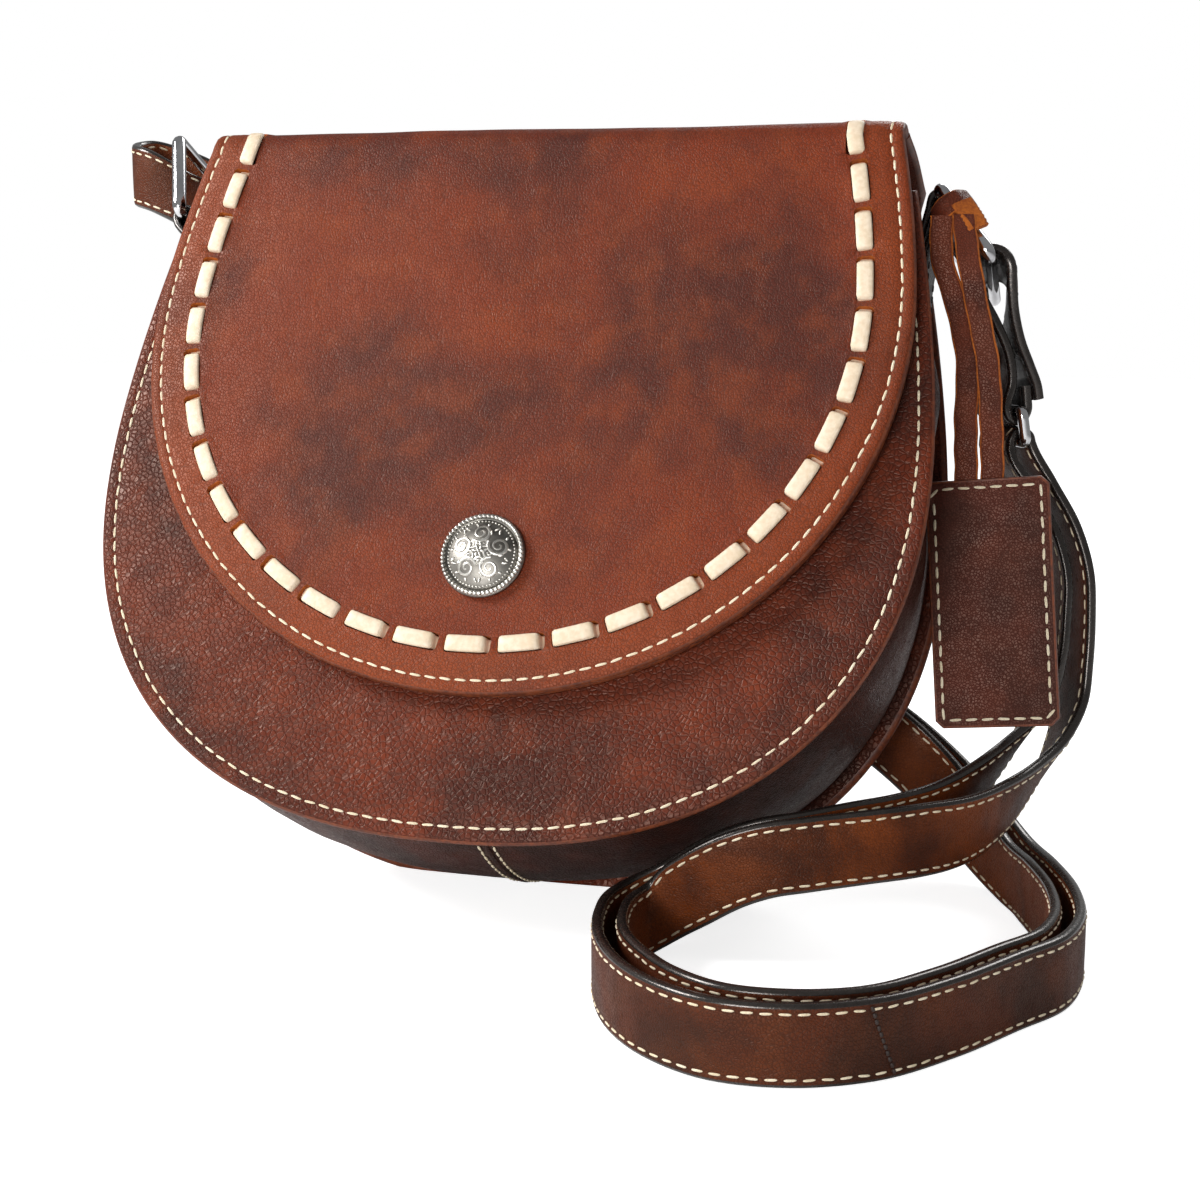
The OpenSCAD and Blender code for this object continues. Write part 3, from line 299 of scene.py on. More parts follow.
def woven_cloth(name, light, dark):
    made, tree, skin = blank_material(name, shade(*light))
    where = node(tree, "ShaderNodeTexCoord").outputs["Object"]
    weave = math_node(tree, "MULTIPLY", *(
        texture(tree, "ShaderNodeTexWave", where, 420.0, wave_type="BANDS", bands_direction=direction).outputs["Fac"]
        for direction in "XZ"))
    slub = texture(tree, "ShaderNodeTexNoise", where, 300.0)
    tint = math_node(tree, "ADD", math_node(tree, "MULTIPLY", weave, 0.6),
                     math_node(tree, "MULTIPLY", slub.outputs["Fac"], 0.4))
    tree.links.new(mix_colour(tree, ramp(tree, tint, 0.15, 0.75), shade(*dark), shade(*light)),
                   skin.inputs["Base Color"])
    add_bump(tree, skin, weave, 0.5, 0.0003)
    set_sockets(skin, Roughness=0.9, Sheen_Weight=0.2)
    return made


FLAP_HIDE = leather("flap_hide", (118, 47, 24), (80, 35, 27), (138, 62, 28), 1050.0, 0.38, 0.42, 15.0)
PANEL_HIDE = leather("panel_hide", (98, 40, 24), (70, 30, 22), (130, 57, 31), 640.0, 0.55, 0.36, 18.0)
# Painted shade: the panel hide darkened by about a third for the gusset bands, which sit in shade at the sides.
GUSSET_SHADED_HIDE = leather("gusset_hide_painted_shade", (66, 28, 20), (44, 20, 16), (88, 40, 26), 900.0, 0.6, 0.36, 20.0)
STRAP_HIDE = leather("strap_hide", (122, 56, 16), (70, 30, 13), (116, 56, 22), 1200.0, 0.45, 0.40, 30.0)
# Painted shade: a darker copy of the strap hide, laid on the back faces of the straps.
STRAP_BACK_SHADE_HIDE = leather("strap_back_painted_shade", (82, 34, 12), (56, 24, 11), (100, 48, 18), 1200.0, 0.45, 0.42, 30.0)
BLACK_HIDE = leather("black_hide", (24, 20, 18), (15, 13, 12), (36, 31, 28), 1300.0, 0.35, 0.30, 30.0, coat=0.3)
THONG_HIDE = leather("thong_hide", (104, 46, 30), (78, 34, 25), (126, 62, 40), 1300.0, 0.45, 0.42, 40.0)
TAG_HIDE = leather("tag_hide", (90, 40, 30), (68, 31, 25), (108, 52, 36), 1200.0, 0.4, 0.45, 30.0)
EDGE_BROWN = rough_fibre("burnished_edge", (124, 60, 28), (84, 38, 20), 900.0, 0.45, 0.3)
EDGE_PAINT = leather("edge_paint", (36, 32, 30), (25, 22, 21), (50, 46, 43), 500.0, 0.12, 0.16, 60.0, coat=0.9)
RAW_HIDE = rough_fibre("raw_hide", (186, 100, 26), (146, 70, 18), 1200.0, 0.9, 0.6)
RAW_PALE = rough_fibre("raw_pale_hide", (168, 108, 66), (134, 80, 48), 1200.0, 0.9, 0.6)
LACE_HIDE = rough_fibre("cream_lace", (232, 214, 190), (218, 196, 166), 700.0, 0.5, 0.15)
CREAM_THREAD = rough_fibre("cream_thread", (238, 226, 200), (214, 196, 162), 2600.0, 0.6, 0.4)
DARK_THREAD = rough_fibre("dark_thread", (52, 36, 30), (36, 26, 22), 2600.0, 0.6, 0.4)
CHROME = metal("bright_plate", (222, 222, 224), (190, 190, 194), 0.08, 0.06, 0.0)
SILVER = metal("aged_silver", (226, 223, 216), (176, 172, 164), 0.24, 0.2, 0.15)
TARNISH = metal("dark_tarnish", (146, 142, 135), (84, 81, 77), 0.32, 0.2, 0.25)
STEEL = metal("plain_steel", (170, 168, 164), (130, 128, 126), 0.3, 0.15, 0.05)
CLOTH = woven_cloth("lining_weave", (190, 163, 122), (148, 120, 84))


# ---------------------------------------------------------------- making meshes
def finish_piece(name, bm, materials, body=None, replaces=(), place=Matrix(), sharp=42, blend=None):
    """Places the mesh, turns it into metres and gives it its materials, body and replaced CAD nodes."""
    bm.transform(place)
    bmesh.ops.scale(bm, vec=(0.001, 0.001, 0.001), verts=bm.verts)
    bmesh.ops.recalc_face_normals(bm, faces=bm.faces)
    mesh = bpy.data.meshes.new(name)
    bm.to_mesh(mesh)
    bm.free()
    for material in materials:
        mesh.materials.append(material)
    mesh.shade_smooth()
    mesh.set_sharp_from_angle(angle=math.radians(sharp))
    made = bpy.data.objects.new(name, mesh)
    bpy.context.scene.collection.objects.link(made)
    if blend:
        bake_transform(made)
    else:
        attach(made, body)
    if replaces:
        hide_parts(*replaces)
    return made


def grid_surface(bm, columns, rows, spot, material=None):
    """A grid laid in space: spot(i, j) gives the place of column i and row j."""
    made = bmesh.ops.create_grid(bm, x_segments=columns, y_segments=rows, size=1.0)["verts"]
    keys = {}
    for vert in made:
        i = round((vert.co.x + 1) / 2 * columns)
        j = round((vert.co.y + 1) / 2 * rows)
        keys[vert] = (i, j)
    faces = {face for vert in made for face in vert.link_faces}
    if material:
        for face in faces:
            i = min(keys[v][0] for v in face.verts)
            j = min(keys[v][1] for v in face.verts)
            face.material_index = material(i, j)
    for vert, (i, j) in keys.items():
        vert.co = spot(i, j)
    return made


def sweep(bm, rings, material=None, loop=False):
    """A closed body through rings of points of one count; loop joins the last ring to the first."""
    count, last = len(rings[0]), len(rings) if loop else len(rings) - 1
    made = grid_surface(bm, last, count, lambda i, j: rings[i % len(rings)][j % count], material)
    bmesh.ops.remove_doubles(bm, verts=made, dist=0.0005)
    if not loop:
        edges = [e for e in bm.edges if e.is_boundary]
        bmesh.ops.holes_fill(bm, edges=edges, sides=0)


def resample(points, pitch, start=0.5):
    """Even places along a line: each gives its point and its share of the line's index."""
    runs = [0.0]
    for a, b in zip(points, points[1:]):
        runs.append(runs[-1] + (Vector(b) - Vector(a)).length)
    count = max(1, round(runs[-1] / pitch))
    step, places, k = runs[-1] / count, [], 0
    for n in range(count):
        target = (n + start) * step
        while k < len(runs) - 2 and runs[k + 1] < target:
            k += 1
        share = (target - runs[k]) / max(1e-9, runs[k + 1] - runs[k])
        places.append((Vector(points[k]).lerp(Vector(points[k + 1]), share), k, share))
    return places


def ball_template(segments, rings):
    """Points and faces of one small ball, to be copied many times."""
    ball = bmesh.new()
    bmesh.ops.create_uvsphere(ball, u_segments=segments, v_segments=rings, radius=1.0)
    ball.verts.ensure_lookup_table()
    made = [v.co.copy() for v in ball.verts], [[v.index for v in f.verts] for f in ball.faces]
    ball.free()
    return made


STITCH_BALL, BEAD_BALL = ball_template(6, 5), ball_template(8, 6)


def add_ball(bm, template, place, material=0):
    verts = [bm.verts.new(place(p)) for p in template[0]]
    for corners in template[1]:
        bm.faces.new([verts[k] for k in corners]).material_index = material


def add_stitch(bm, centre, along, out, length=3.4, radius=THREAD, material=0):
    along, out = along.normalized(), out.normalized()
    side = out.cross(along).normalized()
    tilt = draw.uniform(-0.08, 0.08)

    def place(p):
        z = math.copysign(abs(p.z) ** 0.6, p.z) * length / 2
        return centre + along * z + side * (p.x * radius + tilt * z) + out * (p.y * radius * 0.85)

    add_ball(bm, STITCH_BALL, place, material)


def stitch_line(bm, points, outs, pitch=STITCH, length=3.5, radius=THREAD, lift=0.12, material=0):
    """Stitches along points, each with its own outward direction."""
    for spot, k, share in resample(points, pitch):
        along = Vector(points[min(k + 1, len(points) - 1)]) - Vector(points[k])
        out = Vector(outs[k]).lerp(Vector(outs[min(k + 1, len(outs) - 1)]), share)
        add_stitch(bm, spot + out.normalized() * lift, along, out, length, radius, material)


def rounded_rectangle(width, height, radius, steps=5):
    corners = ((1, 1, 0), (-1, 1, 90), (-1, -1, 180), (1, -1, 270))
    return [(cx * (width / 2 - radius) + radius * math.cos(math.radians(a + 90 * k / steps)),
             cz * (height / 2 - radius) + radius * math.sin(math.radians(a + 90 * k / steps)))
            for cx, cz, a in corners for k in range(steps + 1)]


def faces_in(geom):
    return [g for g in geom if isinstance(g, bmesh.types.BMFace)]


def cut_into_cells(bm, faces, step, low, high):
    """Cuts flat faces along a square grid, so that they can be bent and dented."""
    for axis in (0, 1):
        level = math.ceil(low[axis] / step) * step
        while level < high[axis]:
            where = Vector((0, 0, 0))
            where[axis] = level
            normal = Vector((0, 0, 0))
            normal[axis] = 1
            faces = [f for f in faces if f.is_valid]
            geom = list({g for f in faces for g in (f, *f.edges, *f.verts)})
            cut = bmesh.ops.bisect_plane(bm, geom=geom, dist=0.0001, plane_co=where, plane_no=normal)
            faces = faces_in(cut["geom"])
            level += step
    return faces


def rolled_sheet(loop_at, profile, windows=(), cell=5.0, edge_rows=(), open_side=False):
    """A leather sheet in its flat plane (x, s, depth): a rolled rim through the profile's insets and
    depths, a front cut into cells, and windows with walls. loop_at(inset) gives the outline, closed unless
    open_side leaves its straight first side unrolled, where the sheet runs on under the next."""
    bm = bmesh.new()
    loops = [loop_at(inset) for inset, depth in profile]
    count, half, join = len(loops[0]), profile[-1][1] / 2, loops[0][0][1]
    made = grid_surface(bm, count - 1 if open_side else count, len(profile) - 1,
                        lambda i, j: Vector((*loops[j][i % count], profile[j][1])),
                        lambda i, j: 1 if j in edge_rows else 0)
    if not open_side:
        bmesh.ops.remove_doubles(bm, verts=made, dist=0.0005)

    def rims(unrolled=False):
        """Open edges of the rims and windows, or those of the unrolled side alone."""
        return [e for e in bm.edges if e.is_boundary
                and (open_side and all(abs(v.co.y - join) < 1e-4 for v in e.verts)) == unrolled]

    around = rims()
    front = [e for e in around if all(v.co.z > half for v in e.verts)]
    rear = [e for e in around if all(v.co.z < half for v in e.verts)]
    if open_side:
        for edges in (front, rear):
            edges.append(bm.edges.new([v for e in edges for v in e.verts if abs(v.co.y - join) < 1e-4][:2]))
    for points in windows:
        verts = [bm.verts.new((x, s, profile[0][1])) for x, s in points]
        front += [bm.edges.new((verts[i - 1], verts[i])) for i in range(len(verts))]
    low, high = ([pick(p[axis] for p in loops[0]) for axis in (0, 1)] for pick in (min, max))
    for edges, normal in ((front, (0, 0, 1)), (rear, (0, 0, -1))):
        filled = bmesh.ops.triangle_fill(bm, use_beauty=True, edges=edges, normal=normal)["geom"]
        if open_side or edges is front:
            cut_into_cells(bm, faces_in(filled), cell, low, high)
    if windows:
        wall = bmesh.ops.extrude_edge_only(bm, edges=[e for e in rims() if e.verts[0].co.z > half])["geom"]
        bmesh.ops.translate(bm, vec=(0, 0, -LEATHER_T * 0.95),
                            verts=[g for g in wall if isinstance(g, bmesh.types.BMVert)])
        for face in faces_in(wall):
            face.material_index = 2
    if open_side:
        bmesh.ops.holes_fill(bm, edges=rims(unrolled=True), sides=0)
    return bm


def wave(x, s, size, seed):
    return noise.noise(Vector((x / size, s / size, seed)))


# ---------------------------------------------------------------- shell
def panel_place(y, sign):
    """Flat plane (x, s, depth) to a panel whose outer face is at y; depth runs outwards along sign."""
    return Matrix(((1, 0, 0, 0), (0, 0, sign, y), (0, 1, 0, 0), (0, 0, 0, 1)))


RIM = [(7.5, 0.0), (5.4, 0.0), (4.9, -0.22), (4.5, -0.36), (4.1, -0.22), (3.6, 0.0), (1.5, -0.03), (0.7, -0.28),
       (0.2, -0.85), (0.0, -1.5), (0.2, -2.2), (0.8, -2.8), (1.8, -3.0), (7.5, -3.0)]
RIM_EDGE = (7, 8, 9, 10, 11)


def make_panel(name, y, sign, top, place, seed, sag):
    bm = rolled_sheet(lambda inset: panel_outline(inset, top), RIM, cell=5.5, edge_rows=RIM_EDGE)
    for vert in bm.verts:
        x, s, d = vert.co
        inner = max(0.0, 1 - (x / SIDE_X) ** 2) * max(0.0, 1 - ((s - BELLY_H * 0.9) / BELLY_H) ** 2)
        if sign < 0:  # flat under the snap
            inner *= 1 - math.exp(-((x - 2 * FLAP_SHIFT) ** 2 + (s - CONCHO_H) ** 2) / 400.0)
        vert.co.z = d + inner * (sag + 0.9 * wave(x, s, 55.0, seed) + 0.35 * wave(x, s, 19.0, seed + 5))
    finish_piece(name + "_hide", bm, [PANEL_HIDE, EDGE_BROWN], "root", (name,),
                 place @ panel_place(y, sign))


make_panel("front_panel", -BASE_DEPTH, -1, FRONT_H, LEANING, 3.1, 0.9)
make_panel("back_panel", 0.0, 1, ROOT_Z, BEHIND, 8.7, 0.2)
for vert in bpy.data.objects["back_panel_hide"].data.vertices:
    vert.co.z = max(vert.co.z, 0.0001)

thread_bm = bmesh.new()
for y, sign, top, place in ((-BASE_DEPTH, -1, FRONT_H, LEANING), (0.0, 1, ROOT_Z, BEHIND)):
    ring = panel_outline(4.5, top)
    start = next(i for i in range(96, len(ring)) if ring[i][1] >= top - 5)
    points = [place @ panel_place(y, sign) @ Vector((x, s, -0.2)) for x, s in ring[start + 1:] + ring[:start]]
    stitch_line(thread_bm, points, [place.to_3x3() @ Vector((0, sign, 0))] * len(points))
finish_piece("panel_stitches", thread_bm, [CREAM_THREAD], "root")


GUSSET_SEAM, GUSSET_PINCH = 0.035 * PANEL_W, 0.45 * GUSSET_BELLY


def gusset_edge(u, inset, top):
    if u < 1:
        return lower(SIDE_X - inset, BELLY_H - inset, BELLY_H, PANEL_POWER, 90 * u)
    z = BELLY_H + (u - 1) * (top - BELLY_H)
    return panel_half(z, inset), z


def gusset_belly(u):
    """How far the band stands out in mid-depth; it is fullest above the hangtag, under the thong."""
    if u < 1:
        return GUSSET_BELLY * max(0.0, math.cos(math.radians(90 * u))) ** 0.7
    full = 6.5 * math.sin(math.pi * (u - 1.12) / 0.56) if 1.12 < u < 1.68 else 0.0
    return full - GUSSET_PINCH * math.sin(math.radians(90 * (u - 1)))


def gusset_spot(u, share, inset, side, puff=0.0):
    """A place on the band: u runs from the bottom (0) past the belly (1) to the mouth (2), share from front to back."""
    fx, fz = gusset_edge(u, inset, FRONT_H - LEATHER_T / 2)
    bx, bz = gusset_edge(u, inset, ROOT_Z)
    out = Vector((lower(1, 1, 0, PANEL_POWER, 90 * u)[0], 0, -math.cos(math.radians(90 * u)))) if u < 1 \
        else Vector((1, 0, 0))
    out = out.normalized() * (gusset_belly(u) * 4 * share * (1 - share) + puff)
    ca, sa = math.cos(PANEL_ANGLE), math.sin(PANEL_ANGLE)
    front = Vector((fx, -BASE_DEPTH + LEATHER_T, fz))
    back = Vector((bx, -bz * sa - LEATHER_T * ca, bz * ca - LEATHER_T * sa))
    p = front.lerp(back, share) + out
    return Vector((side * p.x, p.y, p.z))


def gusset_ring(u, inset, wall, side, across=16, wrinkles=1.0):
    ring = []
    for j in range(across + 1):
        share = j / across
        near = math.sin(math.pi * share)
        soft = wrinkles * near * (0.5 * wave(u * 30, share * 8, 2.2, 4.0) + 0.9 * math.exp(-((u - 1.78) / 0.05) ** 2)
                                  * math.sin(math.pi * share * 2.0 + 0.6) - 0.9 * math.exp(-((u - 1.55) / 0.06) ** 2)
                                  * near)
        ring.append(gusset_spot(u, share, inset, side, soft))
    return ring + [gusset_spot(u, j / across, inset + wall, side) for j in range(across, -1, -1)]


def gusset_places(start, low=64, high=26):
    return [start + (1 - start) * i / low for i in range(low + 1)] + [1 + i / high for i in range(1, high + 1)]


def seam_u(x):
    return math.degrees(math.asin((abs(x) / (SIDE_X - GUSSET_INSET)) ** (PANEL_POWER / 2))) / 90


SEAM_SHARE = seam_u(GUSSET_SEAM)


def make_gusset(name, rings):
    bm = bmesh.new()
    sweep(bm, rings, lambda i, j: 0 if j < 16 else 1)
    finish_piece(name + "_hide", bm, [GUSSET_SHADED_HIDE, RAW_PALE], "root", (name,), LEANING)


left_rings = [gusset_ring(u, GUSSET_INSET, GUSSET_T, -1) for u in reversed(gusset_places(0.0))]
left_rings += [gusset_ring(SEAM_SHARE * i / 4, GUSSET_INSET, GUSSET_T, 1) for i in range(1, 5)]
make_gusset("gusset_left", left_rings)
make_gusset("gusset_right", [gusset_ring(u, GUSSET_INSET, GUSSET_T, 1) for u in gusset_places(SEAM_SHARE)])


def gusset_line(points, offset=0.25):
    """Places on the gusset's outside with the direction out of it."""
    spots = [[gusset_spot(u, share, GUSSET_INSET, side, offset + more) for more in (0.0, 1.0)]
             for u, share, side in points]
    return [LEANING @ p for p, q in spots], [LEANING.to_3x3() @ (q - p) for p, q in spots]


seam_bm = bmesh.new()
for x in (6.8, 11.2):
    stitch_line(seam_bm, *gusset_line([(seam_u(x), 0.03 + 0.94 * k / 30, 1) for k in range(31)]), 3.6, 2.7)
for side in (-1, 1):
    stitch_line(seam_bm, *gusset_line([(1.955, 0.05 + 0.9 * k / 20, side) for k in range(21)]), 3.8, 2.9)
finish_piece("gusset_stitches", seam_bm, [CREAM_THREAD], "root")

fold_bm = bmesh.new()
spots, outs = gusset_line([(seam_u(9.0), 0.02 + 0.96 * k / 30, 1) for k in range(31)], 0.1)
sweep(fold_bm, [[p + o.normalized() * dz + Vector((dx, 0, 0)) for dx, dz in
                 ((-0.9, 0.0), (-0.7, 0.5), (0.0, 0.75), (0.7, 0.5), (0.9, 0.0))] for p, o in zip(spots, outs)])
finish_piece("gusset_seam_ridge", fold_bm, [GUSSET_SHADED_HIDE], "root")

# Turned-over band of leather round the mouth of the gusset
for side, name in ((-1, "gusset_lip_left"), (1, "gusset_lip_right")):
    lip_bm = bmesh.new()
    rings = []
    for share in (k / 40 for k in range(41)):
        top = gusset_spot(2.0, share, GUSSET_INSET, side)
        down = (gusset_spot(1.97, share, GUSSET_INSET, side) - top).normalized()
        out = (top - gusset_spot(2.0, share, GUSSET_INSET + GUSSET_T, side)).normalized()
        rings.append([top + out * a - down * b for a, b in
                      ((0.3, -4.6), (0.45, -2.0), (0.35, 0.2), (-0.2, 0.8), (-1.25, 1.0), (-2.3, 0.8), (-2.8, 0.2),
                       (-2.9, -2.0), (-1.2, -3.6))])
    sweep(lip_bm, rings)
    finish_piece(name, lip_bm, [GUSSET_SHADED_HIDE], "root", place=LEANING)


# ---------------------------------------------------------------- lining
LINING_INSET = GUSSET_INSET + GUSSET_T + SEAT


lining_bm = bmesh.new()
sweep(lining_bm, [gusset_ring(u, LINING_INSET, 1.0, side, 12, 0.0) for side, us in
                  ((-1, gusset_places(0.0, 40, 16)[::-1]), (1, gusset_places(0.0, 40, 16)[1:])) for u in us])
lining_bm.transform(LEANING)


def cloth_sheet(name_bm, inset, top, matrix, seed, bulge):
    sheet = rolled_sheet(lambda i: panel_outline(inset + i, top + inset, 60, 10),
                         [(6.0, 0.0), (0.4, 0.0), (0.0, -0.5), (0.4, -1.0), (6.0, -1.0)], cell=9.0)
    for vert in sheet.verts:
        x, s, d = vert.co
        near = max(0.0, 1 - (x / 110) ** 2) * min(1.0, max(0.0, (top - s) / 30))
        vert.co.z = d + near * (bulge + 1.1 * wave(x, s, 34.0, seed) + 0.5 * wave(x, s, 13.0, seed))
    sheet.transform(matrix)
    mesh = bpy.data.meshes.new("cloth_part")
    sheet.to_mesh(mesh)
    sheet.free()
    name_bm.from_mesh(mesh)
    bpy.data.meshes.remove(mesh)


cloth_sheet(lining_bm, LINING_INSET + 1.3, FRONT_H - 6, LEANING @ panel_place(-BASE_DEPTH + LEATHER_T + 1.2, 1),
            12.0, 1.4)
cloth_sheet(lining_bm, LINING_INSET + 1.3, BAG_H - 12, BEHIND @ panel_place(-LEATHER_T - 1.2, -1), 15.0, 1.0)
lining_piece = finish_piece("lining_cloth", lining_bm, [CLOTH], "root", ("lining",))

POCKET_W, POCKET_H, POCKET_Z = 0.5 * PANEL_W, 0.4 * BAG_H, 0.35 * BAG_H
pocket_bm = rolled_sheet(
    lambda i: [(x, POCKET_Z + POCKET_H / 2 + z) for x, z in
               rounded_rectangle(POCKET_W - 2 * i, POCKET_H - 2 * i, 4.0, 6)],
    [(6.0, 0.0), (3.4, 0.0), (2.2, -0.8), (0.3, -1.9), (0.0, -2.4), (0.3, -2.9), (6.0, -2.9)], cell=8.0)
for vert in pocket_bm.verts:
    x, s, d = vert.co
    if d > -1.0:
        vert.co.z = d + 0.8 * wave(x, s, 24.0, 31.0) * min(1.0, (POCKET_W / 2 - abs(x)) / 12)
pocket_piece = finish_piece("slip_pocket_cloth", pocket_bm, [CLOTH], "root", ("slip_pocket",),
                            BEHIND @ panel_place(-LEATHER_T - 1.0 - 2.9, -1))

hem_bm = bmesh.new()
for below in (3, 6):
    points = [BEHIND @ panel_place(-LEATHER_T - 3.9, -1)
              @ Vector(((POCKET_W / 2 - 3) * (k / 20 - 1), POCKET_Z + POCKET_H - below, 0.15)) for k in range(41)]
    stitch_line(hem_bm, points, [BEHIND.to_3x3() @ Vector((0, -1, 0))] * 41, 3.2, 2.3, 0.3)
finish_piece("pocket_stitches", hem_bm, [CREAM_THREAD], "root")


# ---------------------------------------------------------------- flap
S_TOP = FOLD_Z + FOLD_R * math.pi / 2
S_JOIN = S_TOP + 3.0
REAR_R, REAR_Z = 6.0, BAG_H - 6.0
REAR_Y = (LEATHER_T - REAR_R - REAR_Z * math.sin(PANEL_ANGLE)) / math.cos(PANEL_ANGLE)
S_REAR = S_TOP + REAR_Y - FOLD_Y
S_DOWN = S_REAR + REAR_R * (math.pi / 2 - PANEL_ANGLE)
S_END = S_DOWN + 14.0
CROWN = 1.6


def flap_section(s):
    """Place and outward direction of the flap leather's outer face, at the run s up and over the bag."""
    if s <= FOLD_Z:
        return FACE_Y, s, -1.0, 0.0
    if s <= S_TOP:
        turn = (s - FOLD_Z) / FOLD_R
        return (FOLD_Y - FOLD_R * math.cos(turn), FOLD_Z + FOLD_R * math.sin(turn), -math.cos(turn),
                math.sin(turn))
    if s <= S_REAR:
        share = (s - S_TOP) / (S_REAR - S_TOP)
        return (FOLD_Y + s - S_TOP, BAG_H + CROWN * math.sin(math.pi * share) ** 2, 0.0, 1.0)
    if s <= S_DOWN:
        turn = (s - S_REAR) / REAR_R
        return (REAR_Y + REAR_R * math.sin(turn), REAR_Z + REAR_R * math.cos(turn), math.sin(turn),
                math.cos(turn))
    ca, sa = math.cos(PANEL_ANGLE), math.sin(PANEL_ANGLE)
    return REAR_Y + REAR_R * ca + (s - S_DOWN) * sa, REAR_Z + REAR_R * sa - (s - S_DOWN) * ca, ca, sa


def on_flap(x, s, d):
    y, z, ny, nz = flap_section(s)
    shift = FLAP_SHIFT * (1 - min(1.0, max(0.0, (s - S_TOP) / (S_DOWN - S_TOP))))
    return to_world(x + shift, y + ny * d, z + nz * d)


def out_of_flap(s):
    y, z, ny, nz = flap_section(s)
    return LEANING.to_3x3() @ Vector((0, ny, nz))


def rim_profile(groove, t, inner=8.0):
    return [(inner, 0.0), (groove + 0.9, 0.0), (groove + 0.45, -0.2), (groove, -0.34), (groove - 0.45, -0.2),
            (groove - 0.9, 0.0), (1.5, -0.04), (0.7, -0.26), (0.2, -0.28 * t), (0.0, -t / 2), (0.2, -0.72 * t),
            (0.7, -t + 0.26), (1.5, -t), (inner, -t)]


def flap_side(inset, round_steps, side_steps):
    """The right half of the front plate's outline, from its lowest point up over the fold."""
    return [lower(FLAP_W / 2 - inset, FLAP_BELLY - FLAP_LOW - inset, FLAP_BELLY, FLAP_POWER, 90 * i / round_steps)
            for i in range(round_steps + 1)] \
        + [(flap_half(inset, s), s)
           for s in (FLAP_BELLY + (S_JOIN - FLAP_BELLY) * i / side_steps for i in range(1, side_steps + 1))]


# The lace line, and places on it by the run from its lowest point
lace_line = flap_side(LACE_INSET, 90, 60)
lace_runs = [0.0]
for a, b in zip(lace_line, lace_line[1:]):
    lace_runs.append(lace_runs[-1] + math.dist(a, b))
LACE_COUNT = 14


def on_lace(run):
    x = float(np.interp(abs(run), lace_runs, [p[0] for p in lace_line]))
    s = float(np.interp(abs(run), lace_runs, [p[1] for p in lace_line]))
    return math.copysign(x, run), s


def lace_frame(run):
    (xa, sa), (xb, sb) = on_lace(run - 0.5), on_lace(run + 0.5)
    along = Vector((xb - xa, sb - sa)).normalized()
    return Vector(on_lace(run)), along, Vector((-along.y, along.x))


windows = []
for k in range(-LACE_COUNT, LACE_COUNT + 1):
    mid, along, across = lace_frame(k * PITCH)
    mid = mid + along * (0.55 if k > -3 else -0.55)
    windows.append([mid + along * a + across * b
                    for a, b in rounded_rectangle(WINDOW + 1.7, LACE_W + 0.6, 1.3, 3)])


def flap_loop(inset):
    right = flap_side(inset, 60, 26)
    return mirrored(right[1:]) + right


FLAP_RIM = rim_profile(4.0, LEATHER_T)
flap_bm = rolled_sheet(flap_loop, FLAP_RIM, windows, 4.6, RIM_EDGE, True)
border = kdtree.KDTree(4000)
for n, (spot, k, share) in enumerate(resample([(x, s, 0.0) for x, s in flap_loop(0.0)], 1.0)):
    border.insert(spot, n)
border.balance()
lace_tree = kdtree.KDTree(2 * LACE_COUNT + 1)
for k in range(-LACE_COUNT, LACE_COUNT + 1):
    lace_tree.insert((*on_lace(k * PITCH), 0.0), k + LACE_COUNT)
lace_tree.balance()

tone = flap_bm.verts.layers.float.new("tone")
for vert in flap_bm.verts:
    x, s, d = vert.co
    far = border.find((x, s, 0.0))[2]
    outside = max(0.0, min(1.0, (15.5 - far) / 3.0))
    vert[tone] = 0.75 * outside * (0.75 + 0.5 * wave(x, s, 30.0, 2.0))
    if d > -0.5:
        inner = min(1.0, far / 26.0)
        k = lace_tree.find((x, s, 0.0))[1]
        mid, along, across = lace_frame((k - LACE_COUNT) * PITCH)
        p = Vector((x, s)) - mid
        near = max(abs(p.dot(along)) / (WINDOW / 2 + 0.5), abs(p.dot(across)) / (LACE_W / 2 + 0.3))
        lip = 0.45 * math.exp(-((near - 1.12) / 0.25) ** 2) if near < 2 else 0.0
        vert.co.z = d + lip + inner * (0.55 * wave(x, s, 60.0, 1.3) + 0.22 * wave(x, s, 21.0, 6.0)) \
            + 0.35 * math.sin(math.pi * min(1.0, far / 15.0))
for vert in flap_bm.verts:
    vert.co = on_flap(*vert.co)

FRONT_BLEND = ("arch", "flap", to_world(0, FOLD_Y + 2.5, BAG_H), to_world(0, FACE_Y, FOLD_Z - 2.5))
REAR_BLEND = ("root", "arch", to_world(0, REAR_Y + 7.0, REAR_Z - 5.0), to_world(0, REAR_Y - 5.0, BAG_H))
finish_piece("flap_front", flap_bm, [FLAP_HIDE, EDGE_BROWN, RAW_HIDE], replaces=("flap",),
             blend=FRONT_BLEND)


def arch_half(inset, s):
    if s <= S_REAR:
        wider = 3.4 * (s - S_TOP) / (S_REAR - S_TOP)
    elif s <= S_DOWN:
        wider = 3.4 - 1.5 * (s - S_REAR) / (S_DOWN - S_REAR)
    else:
        wider = 1.9 + 2.1 * (s - S_DOWN) / (S_END - S_DOWN)
    return flap_half(inset, FOLD_Z) + wider


def arch_loop(inset):
    side = [(arch_half(inset, s), s) for s in (S_JOIN + (S_END - inset - S_JOIN) * i / 30 for i in range(31))]
    across = [(side[-1][0] * (1 - 2 * i / 30), side[-1][1]) for i in range(1, 30)]
    return side + across + mirrored(side)


